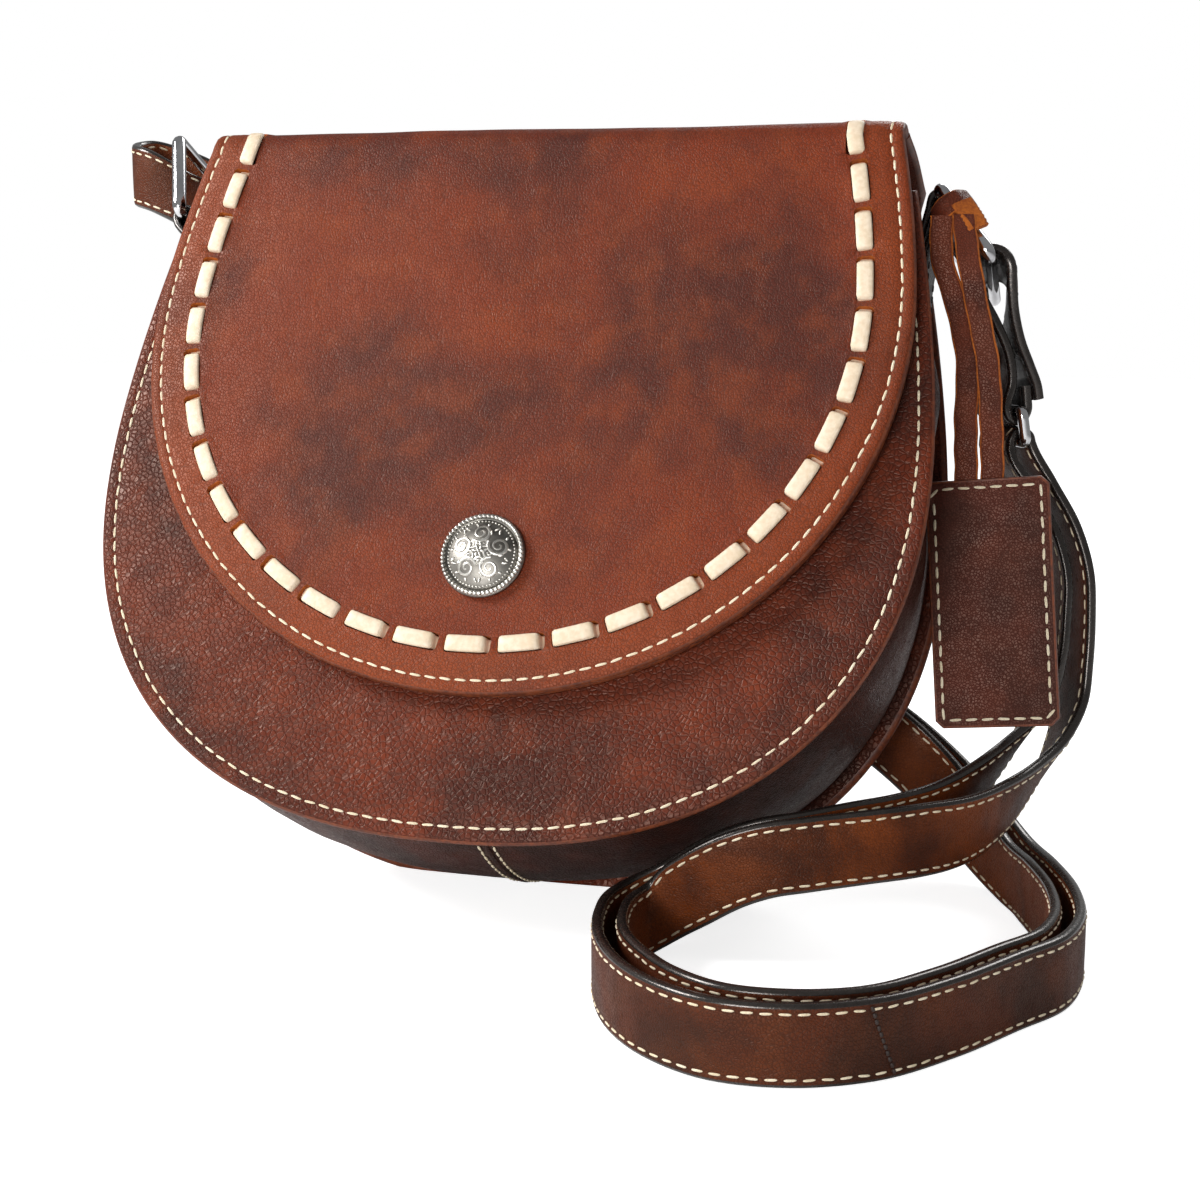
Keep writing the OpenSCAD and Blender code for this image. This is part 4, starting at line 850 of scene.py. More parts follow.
arch_bm = rolled_sheet(arch_loop, FLAP_RIM, (), 4.0, RIM_EDGE, True)
for vert in arch_bm.verts:
    x, s, d = vert.co
    soft = min(1.0, (112.0 - abs(x)) / 20.0) * min(1.0, (s - S_JOIN) / 8.0) * min(1.0, max(0.0, S_REAR - s) / 8.0)
    vert.co = on_flap(x, s, d + 0.5 * soft * wave(x, s, 40.0, 9.0))
finish_piece("flap_arch", arch_bm, [FLAP_HIDE, EDGE_BROWN], replaces=("flap_top", "flap_root"),
             blend=REAR_BLEND)


def sew(bm, line, depth=-0.2):
    stitch_line(bm, [on_flap(x, s, depth) for x, s in line], [out_of_flap(s) for x, s in line])


stitch_bm = bmesh.new()
sew(stitch_bm, flap_loop(4.0))
finish_piece("flap_stitches", stitch_bm, [CREAM_THREAD], blend=FRONT_BLEND)
stitch_bm = bmesh.new()
sew(stitch_bm, arch_loop(4.0))
sew(stitch_bm, [(x, S_DOWN + 2.0) for x in range(-106, 107, 4)], 0.0)
finish_piece("arch_stitches", stitch_bm, [CREAM_THREAD], blend=REAR_BLEND)

# Backing of the front plate
backing_bm = rolled_sheet(
    lambda i: outline(FLAP_W / 2 - i - 0.25, FLAP_BELLY - FLAP_LOW - i - 0.25, FLAP_BELLY, FLAP_POWER, FLAP_TAPER,
                      BAG_H - FLAP_BELLY, FOLD_Z - i * 0.5),
    [(8.0, 0.0), (1.2, 0.0), (0.3, -0.3), (0.0, -1.1), (0.3, -1.9), (1.2, -2.2), (8.0, -2.2)], cell=12.0,
    edge_rows=(1, 2, 3, 4))
finish_piece("flap_backing_hide", backing_bm, [PANEL_HIDE, EDGE_BROWN], "flap", ("flap_backing",),
             LEANING @ Matrix.Translation((FLAP_SHIFT, 0, 0)) @ panel_place(FACE_Y + LEATHER_T + BACKING_T, 1))

# Lace: one flat thong that rises through each window
lace_bm = bmesh.new()
rings = []
LACE_SHAPE = [(-0.5, -0.5), (-0.5, 0.2), (-0.42, 0.5), (-0.2, 0.62), (0.0, 0.66), (0.2, 0.62), (0.42, 0.5), (0.5, 0.2),
              (0.5, -0.5), (0.0, -0.5)]
LACE_RISE = [(-7.95, -2.3), (-7.0, -2.3), (-6.25, -1.6), (-6.1, -0.4), (-5.75, 0.35), (-5.1, 0.72), (-3.5, 0.86),
             (0.0, 0.95), (3.5, 0.86), (5.1, 0.72), (5.75, 0.35), (6.1, -0.4), (6.25, -1.6), (7.0, -2.3)]
for k in range(-LACE_COUNT, LACE_COUNT + 1):
    for a, d in LACE_RISE[2 if k == -LACE_COUNT else 0:12 if k == LACE_COUNT else 14]:
        run = k * PITCH + a
        mid, along, across = lace_frame(run)
        narrow = LACE_W * (1.0 - 0.16 * max(0.0, (abs(a) - 5.0) / 1.2) if abs(a) < 6.3 else 0.84)
        rings.append([on_flap(*(mid + across * w * narrow), d + t * LACE_T) for w, t in LACE_SHAPE])
sweep(lace_bm, rings)
finish_piece("cream_lace_run", lace_bm, [LACE_HIDE], replaces=("flap_lace",), blend=FRONT_BLEND,
             sharp=60)


# ---------------------------------------------------------------- button and snap
def turned(bm, profile, steps=48, material=0):
    """A turned shape about Z from a profile of radius and height."""
    verts = [bm.verts.new((r, 0, z)) for r, z in profile]
    edges = [bm.edges.new(pair) for pair in zip(verts, verts[1:])]
    made = bmesh.ops.spin(bm, geom=verts + edges, cent=(0, 0, 0), axis=(0, 0, 1), dvec=(0, 0, 0),
                          angle=2 * math.pi, steps=steps, use_merge=True)
    bmesh.ops.remove_doubles(bm, verts=bm.verts, dist=0.001)
    if material:
        for face in bm.faces:
            face.material_index = material


def bead(bm, centre, size, turn=0.0, tilt=0.0):
    matrix = (Matrix.Translation(centre) @ Matrix.Rotation(turn, 4, "Z") @ Matrix.Rotation(tilt, 4, "X")
              @ Matrix.Diagonal((*size, 1)))
    add_ball(bm, BEAD_BALL, lambda p: matrix @ p)


DOME_R, DOME_H, DOME_BASE = 10.3, 3.2, 1.7


def dome_z(r):
    big = (DOME_R ** 2 + DOME_H ** 2) / (2 * DOME_H)
    return DOME_BASE + DOME_H - big + math.sqrt(max(0.0, big * big - r * r))


def on_circle(r, turn):
    return r * math.cos(turn), r * math.sin(turn)


def bead_circle(bm, count, r, z, size, start=0.0, tilt=0.0):
    for k in range(count):
        turn = start + 2 * math.pi * k / count
        bead(bm, (*on_circle(r, turn), z), size, turn, tilt)


def scroll(bm, centre, start, turns, r0, r1, thick, hand=1, steps=26):
    """A raised scroll lying on the dome."""
    rings = []
    for share in (n / steps for n in range(steps + 1)):
        side = Vector(on_circle(1.0, start + hand * turns * 2 * math.pi * share))
        mid = Vector(centre) + side * (r0 + (r1 - r0) * share)
        width = thick * (1.0 - 0.55 * share)
        ring = []
        for a in (math.radians(45 * q) for q in range(8)):
            p = mid + side * width * math.cos(a)
            ring.append(Vector((*p, dome_z(p.length) + 0.05 + 0.75 * width * math.sin(a))))
        rings.append(ring)
    sweep(bm, rings)


concho_bm = bmesh.new()
profile = [(0.0, dome_z(0.0))] + [(DOME_R * k / 10, dome_z(DOME_R * k / 10)) for k in range(1, 11)]
profile += [(10.55, 1.35), (10.75, 1.15), (11.3, 1.3), (12.2, 1.3), (12.6, 1.0), (12.7, 0.5), (12.5, 0.05),
            (2.08, 0.05), (2.08, 1.0), (0.0, 1.0)]
turned(concho_bm, profile, 72, 1)
bead_circle(concho_bm, 58, 11.75, 1.65, (0.75, 1.05, 0.5), tilt=math.radians(38))
bead_circle(concho_bm, 60, 9.95, dome_z(9.95) + 0.1, (0.3, 0.34, 0.26))
for k in range(5):
    turn = math.radians(20 + 72 * k)
    scroll(concho_bm, on_circle(5.9, turn), turn + 2.4, 1.75, 3.1, 0.4, 0.5, 1)
    scroll(concho_bm, on_circle(3.1, turn + 0.8), turn - 1.2, 1.2, 1.5, 0.4, 0.36, -1, 18)
    for a, r, size in ((0.55, 8.2, 1.0), (-0.55, 8.2, 1.0), (0.78, 6.6, 0.85), (-0.2, 8.7, 0.7), (0.2, 8.7, 0.7)):
        bead(concho_bm, (*on_circle(r, turn + a), dome_z(r) + 0.12), (size, 0.38, 0.34),
             turn + a + 0.5 * math.copysign(1, a))
bead_circle(concho_bm, 6, 1.15, dome_z(1.1) + 0.15, (0.75, 0.42, 0.36))
bead(concho_bm, (0, 0, dome_z(0) + 0.3), (0.5, 0.5, 0.42))


def at_snap(y, facing):
    return (LEANING @ Matrix.Translation((2 * FLAP_SHIFT, y, CONCHO_H))
            @ Matrix.Rotation(facing * math.pi / 2, 4, "X"))


finish_piece("concho_button", concho_bm, [SILVER, TARNISH], "flap", ("concho",),
             at_snap(FACE_Y - 0.05, 1))


def disc(name, body, radius, high, y, facing, low=0.02):
    bm = bmesh.new()
    edge = min(0.35, (high - low) / 3)
    turned(bm, [(0.0, low), (radius - edge, low), (radius, low + edge), (radius, high - edge), (radius - edge, high),
                (radius * 0.8, high), (radius * 0.77, high - edge), (0.0, high - edge)], 40)
    finish_piece(name + "_disc", bm, [STEEL], body, (name,), at_snap(y, facing))


SNAP_T = (FLAP_GAP - SEAT) / 2
disc("magnet_front", "root", MAGNET_D / 2, SNAP_T, -BASE_DEPTH, 1)
disc("magnet_flap", "flap", MAGNET_D / 2, SNAP_T, -BASE_DEPTH - FLAP_GAP, -1)
disc("magnet_washer", "root", 0.375 * MAGNET_D, 1.0, -BASE_DEPTH + LEATHER_T, -1)


# ---------------------------------------------------------------- straps
def unit(v):
    return np.asarray(v, float) / np.linalg.norm(v)


def on_back(x, h, d):
    return np.array(BEHIND @ Vector((x, d, h)))


def along_back(r, u):
    return np.array([r, u * math.sin(BACK_LEAN), u * math.cos(BACK_LEAN)])


def run_at(a, b, c, span):
    p, q = np.linalg.norm(b[:3] - a[:3]), np.linalg.norm(c[:3] - b[:3])
    if p == 0:
        return (c - b) * span / q
    if q == 0:
        return (b - a) * span / p
    return span * ((b - a) * q / p + (c - b) * p / q) / (p + q)


def smooth(rows, steps):
    rows = [np.asarray(r, float) for r in rows]
    last, made = len(rows) - 1, []
    for i in range(last):
        a, b, c, d = rows[max(0, i - 1)], rows[i], rows[i + 1], rows[min(last, i + 2)]
        span = np.linalg.norm(c[:3] - b[:3])
        m, n = run_at(a, b, c, span), run_at(b, c, d, span)
        for k in range(steps):
            t = k / steps
            made.append(b * (1 - 3 * t * t + 2 * t ** 3) + m * (t - 2 * t * t + t ** 3)
                        + c * (3 * t * t - 2 * t ** 3) + n * (t ** 3 - t * t))
    return made + [rows[last]]


def heading(rows, i):
    last = len(rows) - 1
    ahead = rows[min(last, i + 1)][:3] - rows[min(last - 1, i)][:3]
    behind = rows[max(1, i)][:3] - rows[max(0, i - 1)][:3]
    return unit(unit(ahead) + unit(behind))


def facing(rows, i):
    return unit(np.cross(heading(rows, i), rows[i][3:6]))


LINK_TURN, LINK_TILT = math.radians(30), math.radians(-10)
LINK_SIDE = 1.15 * LINK_D
ACROSS_DROP = np.array([-math.sin(LINK_TURN), math.cos(LINK_TURN), 0.0])
LINK_LOW = np.array([SIDE_X + 0.16 * REACH, 0.27 * REACH, 0.615 * BAG_H])
TURN_R = LINK_D / 2 + STRAP_T / 2 + SEAT
LINK_LEN = 2 * TURN_R + STRAP_T + 2 * SEAT
LINK_HIGH = LINK_LOW + LINK_LEN * np.array([math.sin(LINK_TILT) * math.cos(LINK_TURN),
                                            math.sin(LINK_TILT) * math.sin(LINK_TURN), math.cos(LINK_TILT)])
DROP_H = LINK_LOW[2] - STRAP_W
GAP = 2 * TURN_R
# Along the strap: place as shares of the reach and the drop, the strap's width direction, the gap of the strands
ROUTE_SHARES = [
    (0.213, 0.257, 0.889, -0.5, 0.86, 0, 1), (0.269, 0.254, 0.778, -0.5, 0.86, 0, 1.03),
    (0.299, 0.246, 0.667, -0.5, 0.86, 0, 1.12), (0.304, 0.239, 0.556, -0.5, 0.86, 0, 1.24),
    (0.301, 0.228, 0.444, -0.5, 0.86, -0.1, 1.36), (0.291, 0.213, 0.363, -0.45, 0.8, -0.35, 1.52),
    (0.261, 0.164, 0.299, -0.4, 0.7, -0.6, 1.6), (0.205, 0.071, 0.252, -0.3, 0.5, -0.8, 1.72),
    (0.142, -0.041, 0.221, -0.2, 0.25, -0.95, 1.76), (0.071, -0.153, 0.203, -0.1, 0.1, -1, 1.78),
    (-0.015, -0.254, 0.201, 0, 0, -1, 1.72), (-0.112, -0.336, 0.199, 0, 0, -1, 1.36),
    (-0.216, -0.392, 0.188, 0.1, 0, -0.99, 1), (-0.306, -0.414, 0.171, 0.25, 0, -0.97, 1),
    (-0.384, -0.416, 0.137, 0.4, 0, -0.92, 1.12), (-0.451, -0.409, 0.09, 0.42, 0, -0.91, 1.2),
    (-0.511, -0.399, 0.038, 0.22, 0, -0.98, 1.2), (-0.554, -0.422, 0.004, 0, 0, -1, 1.14),
    (-0.57, -0.47, 0, 0, 0, -1, 1.06), (-0.565, -0.593, 0, 0, 0, -1, 1), (-0.53, -0.713, 0, 0, 0, -1, 1.06),
    (-0.474, -0.81, 0, 0, 0, -1, 1.3), (-0.388, -0.903, 0, 0, 0, -1, 1.36), (-0.269, -0.965, 0, 0, 0, -1, 1.36),
    (-0.138, -0.961, 0, 0, 0, -1, 1.3), (-0.007, -0.903, 0, 0, 0, -1, 1.06), (0.112, -0.772, 0, 0, 0, -1, 1),
    (0.216, -0.612, 0, 0, 0, -1, 1), (0.291, -0.493, 0, 0, 0, -1, 1), (0.316, -0.373, 0, 0, 0, -1, 1),
    (0.302, -0.209, 0, 0, 0, -1, 1), (0.25, -0.03, 0, 0, 0, -1, 1), (0.19, 0.123, 0, 0, 0, -1, 1),
    (0.134, 0.231, 0.043, -0.3, 0.1, -0.95, 1), (0.063, 0.31, 0.115, -0.56, 0.14, -0.82, 1),
    (-0.09, 0.362, 0.253, -0.65, -0.05, -0.75, 1)]
SLIDER_X, SLIDER_Z, SLIDER_RISE = 0.527 * SIDE_X, 0.455 * BAG_H, 0.76 * GAP
SLIDER_GAP = 1 + (LINK_D + SEAT) / GAP
BACK_ACROSS = along_back(-0.707, -0.707)
ROUTE = [np.array([SIDE_X + r[0] * REACH, r[1] * REACH, STRAP_W + r[2] * DROP_H, r[3], r[4], r[5], r[6]])
         for r in ROUTE_SHARES] + [
    np.concatenate([on_back(0.722 * SIDE_X, 0.344 * BAG_H, 1.4 * GAP), BACK_ACROSS, [1.2]]),
    np.concatenate([on_back(SLIDER_X, SLIDER_Z, SLIDER_RISE + SLIDER_GAP * GAP / 2), BACK_ACROSS, [SLIDER_GAP]])]
CLIMB_SHARES = [
    (0.369, 0.536, 0.44, -0.7, -0.72), (0.172, 0.64, 0.34, -0.68, -0.74), (-0.064, 0.747, 0.34, -0.66, -0.75),
    (-0.303, 0.843, 0.5, -0.55, -0.84), (-0.506, 0.908, 0.9, -0.43, -0.9), (-0.672, 0.95, 1.45, -0.43, -0.9)]
TURN_SHARES = [
    (0.798, 0.789, -0.253, -0.35, -0.29, -0.89), (0.001, 0.914, 0.36, -0.1, -0.2, -0.97),
    (-0.635, 0.857, 0.65, -0.1, -0.05, -0.99), (-0.956, 0.7, 0.74, 0, 0, -1), (-1.035, 0.45, 0.71, 0, 0, -1),
    (-0.949, 0.221, 0.658, 0, 0, -1), (-0.67, 0.092, 0.579, 0, -0.05, -1), (-0.42, 0.146, 0.437, 0.08, -0.2, -0.96),
    (-0.245, 0.296, 0.29, 0.18, -0.4, -0.9), (-0.092, 0.439, 0.222, 0.21, -0.45, -0.87),
    (0.155, 0.507, 0.154, 0.18, -0.42, -0.89), (0.448, 0.642, -0.017, -0.1, -0.34, -0.93),
    (0.787, 0.65, -0.228, -0.35, -0.29, -0.89), (1.258, 0.575, -0.46, -0.4, -0.28, -0.87)]
RING_RIGHT_X = panel_half(RING_RIGHT_H) + 1.8 * RING_BAR
RING_LEFT_X = panel_half(RING_LEFT_H) + 3.4 * RING_BAR
RIGHT_ANGLE, LEFT_ANGLE = math.radians(144), math.radians(-12)
RING_Y = -1.27 * TOP_DEPTH
RING_RIGHT_END = np.array(to_world(RING_RIGHT_X + RING_LEN * math.sin(RIGHT_ANGLE), RING_Y,
                                   RING_RIGHT_H + RING_LEN * math.cos(RIGHT_ANGLE)))
RING_LEFT_MID = np.array(to_world(-RING_LEFT_X + RING_LEN / 2 * math.sin(LEFT_ANGLE), RING_Y,
                                  RING_LEFT_H + RING_LEN / 2 * math.cos(LEFT_ANGLE)))


def strand_rows(side):
    out = unit(np.cross([0, 0, -1], ACROSS_DROP))
    rows = [np.concatenate([LINK_LOW + TURN_R * (side * math.cos(math.radians(a)) * out
                                                 + np.array([0, 0, math.sin(math.radians(a))])), ACROSS_DROP])
            for a in (76, 38, 0)]
    return rows + [np.concatenate([row[:3] + facing(ROUTE, i) * side * row[6] * GAP / 2, row[3:6]])
                   for i, row in enumerate(ROUTE)]


CLIMB_ROWS = [np.concatenate([on_back(r[0] * SIDE_X, r[1] * BAG_H, r[2] * GAP), along_back(r[3], r[4])])
              for r in CLIMB_SHARES]
TURN_ROWS = [np.concatenate([RING_LEFT_MID + RING_LEN * np.array(r[:3]), r[3:6]]) for r in TURN_SHARES]
SLIDER_TOP = SLIDER_RISE + GAP * SLIDER_GAP
SLIDER_ROWS = [np.concatenate([on_back(SLIDER_X - 0.5 * TURN_R - 0.707 * TURN_R * math.cos(a),
                                       SLIDER_Z + 0.5 * TURN_R + 0.707 * TURN_R * math.cos(a),
                                       SLIDER_TOP - TURN_R + TURN_R * math.sin(a)), BACK_ACROSS])
               for a in (math.radians(b) for b in (90, 30, -30, -90))]
SLIDER_TAIL = [np.concatenate([on_back(SLIDER_X + 0.6 * STRAP_W, SLIDER_Z - 0.6 * STRAP_W,
                                       SLIDER_TOP - 1.7 * TURN_R), BACK_ACROSS])]
BAR_DIR = np.array([0, math.cos(LEAN), -math.sin(LEAN)])
SHORT_TOP = RING_RIGHT_END - BAR_DIR * STRAP_W / 2
SHORT_SPAN = SHORT_TOP - LINK_HIGH
EYE_R = RING_BAR / 2 + STRAP_T / 2 + RING_LEN * math.sin(math.radians(4)) + SEAT


def short_across(v):
    return unit(ACROSS_DROP * (1 - v) + BAR_DIR * v)


def short_side(v):
    return unit(np.cross(short_across(v), [0, 0, 1]))


def short_row(r):
    return np.concatenate([LINK_HIGH + r[1] * SHORT_SPAN + r[0] * STRAP_W * short_side(r[1]), short_across(r[1])])


def around(centre, r, degrees, v):
    up = np.cross(short_side(v), short_across(v))
    return [np.concatenate([centre + r * (math.cos(math.radians(a)) * short_side(v) + math.sin(math.radians(a)) * up),
                            short_across(v)]) for a in degrees]


# The short strap: its tip, round the ring's bar, back inside, round the link and under the tip
SHORT_ROWS = [short_row(r) for r in ((0.37, 0.07), (0.37, 0.16), (0.31, 0.30), (0.23, 0.48), (0.21, 0.68),
                                     (0.24, 0.86))]
SHORT_ROWS += around(SHORT_TOP, EYE_R, (20, 55, 90, 125, 160, 190), 1)
SHORT_ROWS += [short_row(r) for r in ((-0.21, 0.80), (-0.06, 0.58), (0.03, 0.38), (0.01, 0.20))]
SHORT_ROWS += around(LINK_HIGH, TURN_R, (190, 230, 270, 310, 350), 0)
SHORT_ROWS += [short_row(r) for r in ((0.185, 0.09), (0.20, 0.165))]


def mirror_band(half, width):
    """A band's section from its half, given up to the middle of its upper face."""
    upper = half + [(width - w, t) for w, t in reversed(half[1:-1])]
    return upper + [(width - w, -t) for w, t in upper]


BAND = mirror_band([(0.0, 0.0), (0.1, 0.75), (0.45, 1.25), (1.1, 1.48), (1.9, 1.5), (2.35, 1.4), (2.8, 1.5),
                    (5.0, 1.55), (STRAP_W / 2, 1.58)], STRAP_W)
BAND_EDGE = {0, 1, 2, 13, 14, 15, 16, 17, 18, 29, 30, 31}
BACK_FACE = set(range(19, 29))


def ribbon_ring(rows, i, section, lowest=None):
    """The section laid across the strip at row i, kept above the ground where lowest says so."""
    out, across = facing(rows, i), unit(rows[i][3:6])
    ring = [rows[i][:3] + across * w + out * t for w, t in section]
    return [Vector((p[0], p[1], p[2] if lowest is None else max(lowest, p[2]))) for p in ring]


def band_stitches(bm, rows, pitch=4.5, lift=0.0, inset=2.35):
    """Stitches in both grooves of a strap, on the face named by each side."""
    for side in (1, -1):
        for w in (inset, STRAP_W - inset):
            spots, outs = [], []
            for i in range(len(rows)):
                out = facing(rows, i) * side
                p = rows[i][:3] + unit(rows[i][3:6]) * w + out * STRAP_T / 2
                spots.append(Vector((p[0], p[1], max(0.4, p[2]))))
                outs.append(Vector(out))
            stitch_line(bm, spots, outs, pitch, 3.1, 0.36, lift)


def make_strap(name, rows, outer, replaces):
    bm = bmesh.new()
    # The back faces take the darker copy of the strap hide: painted shade.
    sweep(bm, [ribbon_ring(rows, i, BAND, 0.15) for i in range(len(rows))],
          lambda i, j: 1 if j in BAND_EDGE else 2 if j in BACK_FACE else 0)
    finish_piece(name, bm, [outer, EDGE_PAINT, STRAP_BACK_SHADE_HIDE], "root", replaces)


inner_rows = smooth(strand_rows(1) + CLIMB_ROWS + TURN_ROWS, 7)
outer_rows = smooth(strand_rows(-1) + SLIDER_ROWS + SLIDER_TAIL, 7)
make_strap("strap_inner", inner_rows, STRAP_HIDE,
           ("strap_inner_drop", "strap_inner_loop", "strap_inner_rise", "strap_back"))
make_strap("strap_outer", outer_rows, STRAP_HIDE,
           ("strap_outer_drop", "strap_outer_loop", "strap_outer_rise"))
thread_bm = bmesh.new()
band_stitches(thread_bm, inner_rows)
band_stitches(thread_bm, outer_rows)
finish_piece("strap_stitches", thread_bm, [CREAM_THREAD], "root")

# Slanting butt joint of the outer strand, closed with a dark thread
joint_bm = bmesh.new()
points, outs = [], []
for k in range(13):
    place = 195.4 + 2.0 * k / 12
    i, share = int(place), place % 1
    near = outer_rows[i] * (1 - share) + outer_rows[i + 1] * share
    out = facing(outer_rows, i)
    out = out if out[1] < 0 else -out
    points.append(Vector(near[:3] + unit(near[3:6]) * (1.4 + 18.2 * k / 12) + out * 1.56))
    outs.append(Vector(out))
stitch_line(joint_bm, points, outs, 1.7, 1.5, 0.5, 0.1)
finish_piece("strap_joint_thread", joint_bm, [DARK_THREAD], "root")

short_line = smooth(SHORT_ROWS, 6)
make_strap("strap_short_piece", short_line, BLACK_HIDE, ("strap_short",))
thread_bm = bmesh.new()
band_stitches(thread_bm, short_line, 4.2, -0.16)
finish_piece("short_strap_stitches", thread_bm, [DARK_THREAD], "root")


# ---------------------------------------------------------------- tabs and rings
def tab_path(bar_x, bar_h):
    """The middle line of the folded tab in its section (x, z): up the inner layer, round the bar and back."""
    low_h = bar_h - 22.0
    wall_x = panel_half(low_h) - GUSSET_INSET + SEAT
    wall, half = 2.2, 1.1
    r = RING_BAR / 2 + SEAT + half
    foot_in, foot_out = wall_x + half, wall_x + wall + half + 0.05
    path = [(foot_in, low_h - 11.0), (foot_in, low_h - 5.0), (foot_in, low_h + 1.0), (foot_in + 0.2, low_h + 5.0)]
    lean_x = bar_x - r - foot_in
    path += [(foot_in + 0.2 + lean_x * share ** 1.3, low_h + 5.0 + (bar_h - low_h - 5.0) * share)
             for share in (0.3, 0.6, 0.85)]
    path += [(bar_x + r * math.cos(math.radians(a)), bar_h + r * math.sin(math.radians(a)))
             for a in (180, 150, 120, 90, 60, 30, 0, -30)]
    path += [(foot_out + (bar_x + 0.2 - foot_out) * share ** 1.25, low_h + 4.0 + (bar_h - 4.5 - low_h - 4.0) * share)
             for share in (0.8, 0.5, 0.2)]
    return path + [(foot_out, low_h + 1.0), (foot_out, low_h - 5.0), (foot_out, low_h - 11.0)]


TAB_BAND = mirror_band([(0.0, 0.0), (0.15, 0.6), (0.6, 1.0), (1.4, 1.1), (2.2, 1.1), (2.7, 1.0), (3.2, 1.1),
                        (STRAP_W / 2, 1.14)], STRAP_W)
TAB_EDGE = {0, 1, 12, 13, 14, 15, 26, 27}
for name, side, bar_x, bar_h, mid_y in (("tab_right", 1, RING_RIGHT_X, RING_RIGHT_H, RING_Y + 2.0),
                                        ("tab_left", -1, RING_LEFT_X, RING_LEFT_H, RING_Y - 2.0)):
    rows = smooth([np.array([side * x, mid_y - STRAP_W / 2, z, 0, 1, 0]) for x, z in tab_path(bar_x, bar_h)], 4)
    tab_bm = bmesh.new()
    sweep(tab_bm, [ribbon_ring(rows, i, TAB_BAND) for i in range(len(rows))], lambda i, j: 1 if j in TAB_EDGE else 0)
    finish_piece(name + "_leather", tab_bm, [BLACK_HIDE, EDGE_PAINT], "root", (name,), LEANING)
    seam_bm = bmesh.new()
    low_h = bar_h - 22.0
    foot_x = panel_half(low_h) - GUSSET_INSET + SEAT + 4.45
    y0, y1 = mid_y - STRAP_W / 2 + 2.7, mid_y + STRAP_W / 2 - 2.7
    corners = [(y0, low_h + 3.0), (y0, low_h - 8.5), (y1, low_h - 8.5), (y1, low_h + 3.0)]
    for (ya, za), (yb, zb) in zip(corners, corners[1:]):
        points = [LEANING @ Vector((side * foot_x, ya + (yb - ya) * k / 8, za + (zb - za) * k / 8)) for k in range(9)]
        stitch_line(seam_bm, points, [LEANING.to_3x3() @ Vector((side, 0, 0))] * 9, 3.4, 2.6, 0.34, 0.1)
    finish_piece(name + "_stitches", seam_bm, [DARK_THREAD], "root")


def wire_loop(bm, length, width, bar_r, side_r, corner=2.6, around=24):
    """A rectangular ring of wire with thin bars along Y and thicker sides, from its pivot bar upwards."""
    path = []
    for cy, cz, start in ((1, 1, 0), (-1, 1, 90), (-1, -1, 180), (1, -1, 270)):
        for k in range(6):
            a = math.radians(start + 90 * k / 5)
            flat = abs(math.sin(a))
            path.append((cy * (width / 2 - corner) + corner * math.cos(a),
                         length / 2 + cz * (length / 2 - corner) + corner * math.sin(a),
                         side_r + (bar_r - side_r) * flat ** 2))
        y, z, r = path[-1]
        if start in (0, 180):
            for share in (0.08, 0.5, 0.92):
                path.append((y * (1 - 2 * share), z, bar_r))
        else:
            path += [(y, z + (length - 2 * z) * share, side_r) for share in (0.12, 0.3, 0.5, 0.7, 0.88)]
    rings = []
    for n in range(len(path)):
        before, after = path[n - 1], path[(n + 1) % len(path)]
        along = Vector((0, after[0] - before[0], after[1] - before[1])).normalized()
        side = Vector((0, -along.z, along.y))
        y, z, r = path[n]
        rings.append([Vector((r * math.cos(t), y, z)) + side * r * math.sin(t)
                      for t in (2 * math.pi * q / around for q in range(around))])
    sweep(bm, rings, loop=True)


for name, body, x, h, angle in (("ring_right", "right_ring", RING_RIGHT_X, RING_RIGHT_H, RIGHT_ANGLE),
                                ("ring_left", "left_ring", -RING_LEFT_X, RING_LEFT_H, LEFT_ANGLE)):
    ring_bm = bmesh.new()
    wire_loop(ring_bm, RING_LEN, RING_W, RING_BAR / 2 - 0.05, RING_SIDE / 2 - 0.05)
    finish_piece(name + "_wire", ring_bm, [CHROME], body, (name,),
                 LEANING @ Matrix.Translation((x, RING_Y, h)) @ Matrix.Rotation(angle, 4, "Y"))

link_bm = bmesh.new()
wire_loop(link_bm, LINK_LEN, STRAP_W + 2 * SEAT + LINK_SIDE, LINK_D / 2, LINK_SIDE / 2, 2.0)
link_mid = LINK_LOW + ACROSS_DROP * STRAP_W / 2
finish_piece("strap_ring_wire", link_bm, [CHROME], "root", ("strap_ring",),
             Matrix.Translation(link_mid) @ Matrix.Rotation(LINK_TURN, 4, "Z") @ Matrix.Rotation(LINK_TILT, 4, "Y"))

# Square slider round both strands behind the bag
SLIDER_BAR = 0.7 * LINK_D
slider_high = SLIDER_TOP - TURN_R + SLIDER_BAR / 2
slider_bm = bmesh.new()
wide, tall = STRAP_W + 2 * SEAT + SLIDER_BAR, slider_high - SEAT - SLIDER_BAR
slider_rings = []
for (cy, cz), start in (((1, 1), 0), ((-1, 1), 90), ((-1, -1), 180), ((1, -1), 270)):
    for k in range(5):
        a = math.radians(start + 90 * k / 4)
        out = Vector((math.cos(a), math.sin(a), 0))
        mid = Vector((cy * (wide / 2 - 0.8), cz * (tall / 2 - 0.8), 0)) + out * 0.8
        slider_rings.append([mid + out * u * SLIDER_BAR / 2 + Vector((0, 0, v * SLIDER_BAR / 2)) for u, v in
                             ((1, 0.6), (0.6, 1), (-0.6, 1), (-1, 0.6), (-1, -0.6), (-0.6, -1), (0.6, -1), (1, -0.6))])
sweep(slider_bm, slider_rings, loop=True)
slider_place = (BEHIND @ Matrix.Translation((SLIDER_X - 0.5 * TURN_R, 0, SLIDER_Z + 0.5 * TURN_R))
                @ Matrix.Rotation(math.radians(135), 4, "Y")
                @ Matrix.Translation((STRAP_W / 2, SEAT + SLIDER_BAR / 2 + tall / 2, 0)))
finish_piece("slider_loop", slider_bm, [CHROME], "root", ("slider",), slider_place)

